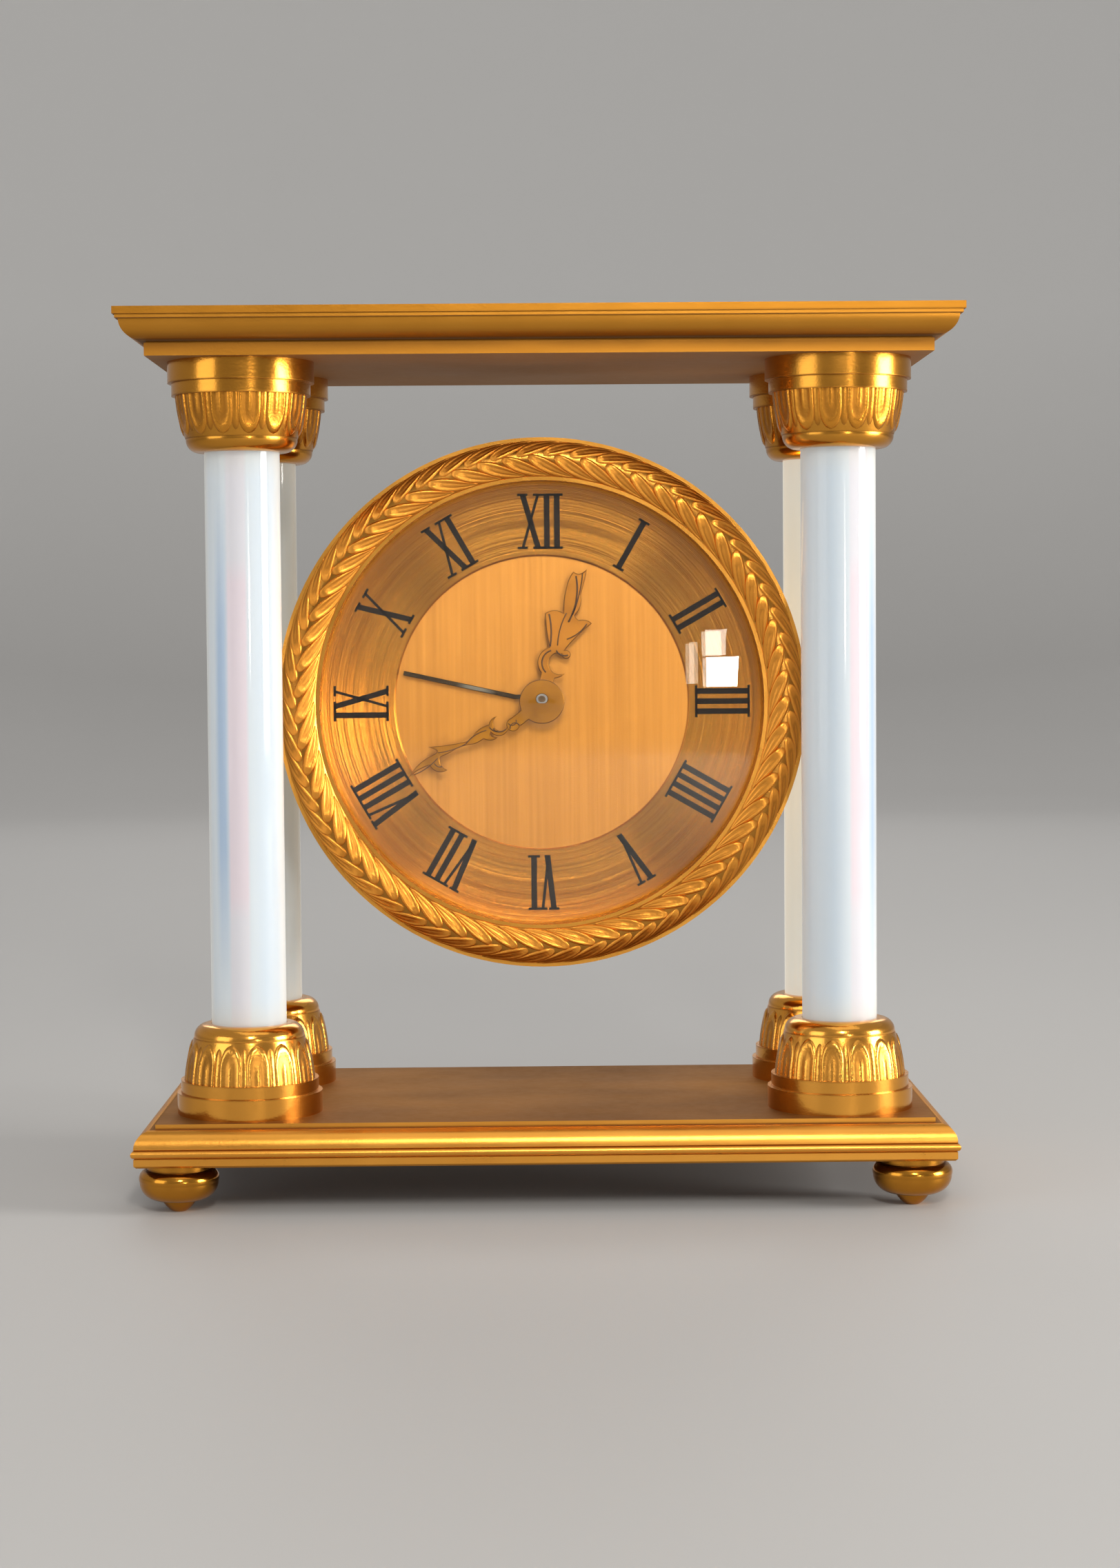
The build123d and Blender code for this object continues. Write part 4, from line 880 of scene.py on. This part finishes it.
def paint_shade_lines(name, node, body, length, angle, lines):
    """Dark lines painted on the face of a hand, as painted shade between the parts of its scroll."""
    ahead = Vector((math.sin(angle), 0.0, math.cos(angle))) * length
    leftward = Vector((-math.cos(angle), 0.0, math.sin(angle))) * length
    front = Vector((0.0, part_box(node)[0][1] / MM - SHADE_LINE_HEIGHT, DIAL_HEIGHT))
    engraving = bmesh.new()
    for start, end, bow, width in lines:
        first, last = (front + ahead * along + leftward * left for along, left in (start, end))
        chord = last - first
        half = chord.length / 2
        rise = bow * length
        sideways = Vector((0.0, 1.0, 0.0)).cross(chord).normalized()
        radius = (half ** 2 + rise ** 2) / (2 * rise)
        centre = (first + last) / 2 + sideways * (rise - radius)
        spoke = (first - centre).normalized() * width / 2
        sweep = (first - centre).angle(last - centre)
        turn = (first - centre).cross(last - centre).y
        ends = [engraving.verts.new(first + spoke), engraving.verts.new(first - spoke)]
        bmesh.ops.spin(
            engraving,
            geom=ends + [engraving.edges.new(ends)],
            cent=centre,
            axis=(0, 1, 0),
            angle=math.copysign(sweep, turn),
            steps=SHADE_LINE_STEPS,
        )
    sunk = bmesh.ops.extrude_face_region(engraving, geom=engraving.faces[:])["geom"]
    floor_verts = [item for item in sunk if isinstance(item, bmesh.types.BMVert)]
    bmesh.ops.translate(engraving, verts=floor_verts, vec=(0, SHADE_LINE_HEIGHT + SHADE_LINE_DEPTH, 0))
    # Spun and extruded corners and faces come in no fixed order, so they are sorted by place.
    engraving.verts.sort(key=lambda vert: vert.co.dot(SORT_ALONG))
    engraving.faces.sort(key=lambda face: face.calc_center_median().dot(SORT_ALONG))
    seat(engraving, (0, 0, 0))
    add_piece(name, engraving, scroll_shade_paint, body)


paint_shade_lines("minute_hand_shade_lines", "minute_hand", "minute", MINUTE_LENGTH, MINUTE_ANGLE, MINUTE_LINES)
paint_shade_lines("hour_hand_shade_lines", "hour_hand", "hour", HOUR_LENGTH, HOUR_ANGLE, HOUR_LINES)

WORN_RADIUS = 18.5
WORN_HALF = 5.5
BLUED_DARK = rgb(0.022, 0.015, 0.008)
BLUED_PALE = rgb(0.07, 0.045, 0.022)
WORN_STEEL = rgb(0.24, 0.22, 0.17)
blued = Finish("blued_steel", Metallic=1.0)
blued_spot = blued.place()
heat = blued.noise(blued_spot, scale=140.0)
along_needle = seam(from_dial_axis(blued, blued_spot), WORN_RADIUS * MM, WORN_HALF * MM)
worn = (chased_height(blued) * along_needle * (1.0 + heat)).clamped()
blued.set(
    Base_Color=blued.mix(worn, blued.mix(heat, BLUED_DARK, BLUED_PALE), WORN_STEEL),
    Roughness=0.3 + 0.2 * heat,
    Normal=blued.bump(blued.fine_grain(blued_spot), distance=0.00004, strength=0.4),
)
filed_hand("alarm_hand_filed", "alarm_hand", blued, "alarm_hand", ALARM_CHAMFER)


# Knobs, keys and stop button on the back. Turned, fluted and sawn brass, gilded, and rubbed smooth by the
# fingers that set and wind the clock.
key_gilt = gilt("gilt_keys", roughness=0.22)
dress(key_gilt, "hand_set_knob", "alarm_set_knob", "winding_key", "alarm_winding_key", "alarm_stop_button")


# Stage. A pale round floor that sweeps up all round into a low wall. A softbox hangs overhead, a narrow strip
# stands high in front and a large low lamp at the right, with soft fills from left and rear. Three small
# bright panes in front are there to show in the crystal.
FLOOR_RADIUS = 1.7
FLOOR_SIDES = 96
SWEEP = 0.9
SWEEP_STEPS = 12
WALL_HEIGHT = 0.8
PAPER_FADE = 0.5
PAPER_LOW = rgb(0.48, 0.478, 0.478)
PAPER_HIGH = rgb(0.65, 0.652, 0.655)
profile = [(0.0, 0.0), (FLOOR_RADIUS, 0.0)]
for step in range(1, SWEEP_STEPS + 1):
    bend = math.pi / 2 * step / SWEEP_STEPS
    profile.append((FLOOR_RADIUS + SWEEP * math.sin(bend), SWEEP * (1 - math.cos(bend))))
profile.append((FLOOR_RADIUS + SWEEP, SWEEP + WALL_HEIGHT))
floor_mesh = bmesh.new()
rail = [floor_mesh.verts.new((reach, 0.0, rise)) for reach, rise in profile]
rail_edges = [floor_mesh.edges.new(pair) for pair in zip(rail, rail[1:])]
bmesh.ops.spin(
    floor_mesh,
    geom=rail + rail_edges,
    cent=(0, 0, 0),
    axis=(0, 0, 1),
    angle=2 * math.pi,
    steps=FLOOR_SIDES,
    use_merge=True,
)
bmesh.ops.remove_doubles(floor_mesh, verts=floor_mesh.verts, dist=MERGE_DISTANCE)
bmesh.ops.recalc_face_normals(floor_mesh, faces=floor_mesh.faces)
for face in floor_mesh.faces:
    face.smooth = True
stage_paper = Finish("stage_paper", Specular_IOR_Level=0.2)
paper_spot = stage_paper.place()
# The paper is painted darker on the floor and lighter up the wall, as painted light.
paper_rise = (stage_paper.parts(paper_spot)[2] / PAPER_FADE).clamped()
paper_cloud = stage_paper.noise(paper_spot, scale=3.0)
paper_tone = (paper_rise + 0.12 * (paper_cloud - 0.5)).clamped()
stage_paper.set(Base_Color=stage_paper.mix(paper_tone, PAPER_LOW, PAPER_HIGH), Roughness=0.6)
floor = bpy.data.objects.new("stage_floor", bpy.data.meshes.new("stage_floor"))
floor_mesh.to_mesh(floor.data)
floor_mesh.free()
floor.data.materials.append(stage_paper.material)
bpy.context.scene.collection.objects.link(floor)

WORLD_TINT = rgb(0.92, 0.89, 0.85)
WORLD_STRENGTH = 0.42
world = bpy.data.worlds.new("studio")
world.use_nodes = True
world.node_tree.nodes["Background"].inputs["Color"].default_value = WORLD_TINT
world.node_tree.nodes["Background"].inputs["Strength"].default_value = WORLD_STRENGTH
bpy.context.scene.world = world


def softbox(name, place, aim, size, power, colour):
    """Area lamp at a place, turned to shine at a point."""
    lamp = bpy.data.lights.new(name, "AREA")
    lamp.shape = "RECTANGLE"
    lamp.size, lamp.size_y = size
    lamp.energy = power
    lamp.color = colour
    holder = bpy.data.objects.new(name, lamp)
    bpy.context.scene.collection.objects.link(holder)
    away = Vector(place) - Vector(aim)
    holder.matrix_world = Matrix.Translation(place) @ away.to_track_quat("Z", "Y").to_matrix().to_4x4()


CLOCK_MIDDLE = (0.0, 0.0, 0.12)
PANE_AIM = (0.0, 0.0, 0.14)
SOFT_WHITE = (1.0, 0.98, 0.95)
WINDOW_WHITE = (1.0, 0.97, 0.92)
SKY_WHITE = (0.95, 0.97, 1.0)
WARM_WHITE = (1.0, 0.96, 0.88)
LAMP_YELLOW = (1.0, 0.92, 0.78)
LAMP_AMBER = (1.0, 0.88, 0.70)
softbox("overhead", (0.15, -0.35, 1.5), CLOCK_MIDDLE, size=(1.1, 1.1), power=2.6, colour=SOFT_WHITE)
softbox("front_strip", (0.095, -1.1, 0.72), CLOCK_MIDDLE, size=(0.08, 0.28), power=5.0, colour=WARM_WHITE)
softbox("right_window", (1.5, -0.45, 0.36), CLOCK_MIDDLE, size=(0.6, 0.6), power=28.0, colour=WINDOW_WHITE)
softbox("left_fill", (-1.3, -1.0, 0.46), CLOCK_MIDDLE, size=(0.9, 0.9), power=4.5, colour=SKY_WHITE)
softbox("rear_fill", (0.0, 1.6, 1.0), CLOCK_MIDDLE, size=(1.4, 0.8), power=7.0, colour=SOFT_WHITE)
softbox("upper_pane", (0.360, -1.135, 0.226), PANE_AIM, size=(0.042, 0.052), power=0.10, colour=LAMP_YELLOW)
softbox("lower_pane", (0.372, -1.135, 0.166), PANE_AIM, size=(0.062, 0.060), power=0.85, colour=WARM_WHITE)
softbox("side_pane", (0.316, -1.15, 0.185), PANE_AIM, size=(0.018, 0.085), power=0.035, colour=LAMP_AMBER)

PHOTO_LONG_SIDE = 2274
FOCAL_PIXELS = 4250
SENSOR_WIDTH = 36.0
CAMERA_PLACE = Vector((-3.4043, -810.93, 151.214)) * MM
YAW = 0.0102
PITCH = 0.0513
ROLL = -0.0078
ahead = Vector((math.sin(YAW) * math.cos(PITCH), math.cos(YAW) * math.cos(PITCH), -math.sin(PITCH)))
level_right = Vector((math.cos(YAW), -math.sin(YAW), 0.0))
level_up = level_right.cross(ahead)
right = math.cos(ROLL) * level_right + math.sin(ROLL) * level_up
up = -math.sin(ROLL) * level_right + math.cos(ROLL) * level_up
camera_data = bpy.data.cameras.new("camera")
camera_data.sensor_width = SENSOR_WIDTH
camera_data.lens = FOCAL_PIXELS * SENSOR_WIDTH / PHOTO_LONG_SIDE
camera = bpy.data.objects.new("camera", camera_data)
bpy.context.scene.collection.objects.link(camera)
camera.matrix_world = Matrix.Translation(CAMERA_PLACE) @ Matrix((right, up, -ahead)).transposed().to_4x4()
bpy.context.scene.camera = camera
bpy.context.scene.view_settings.view_transform = "Standard"
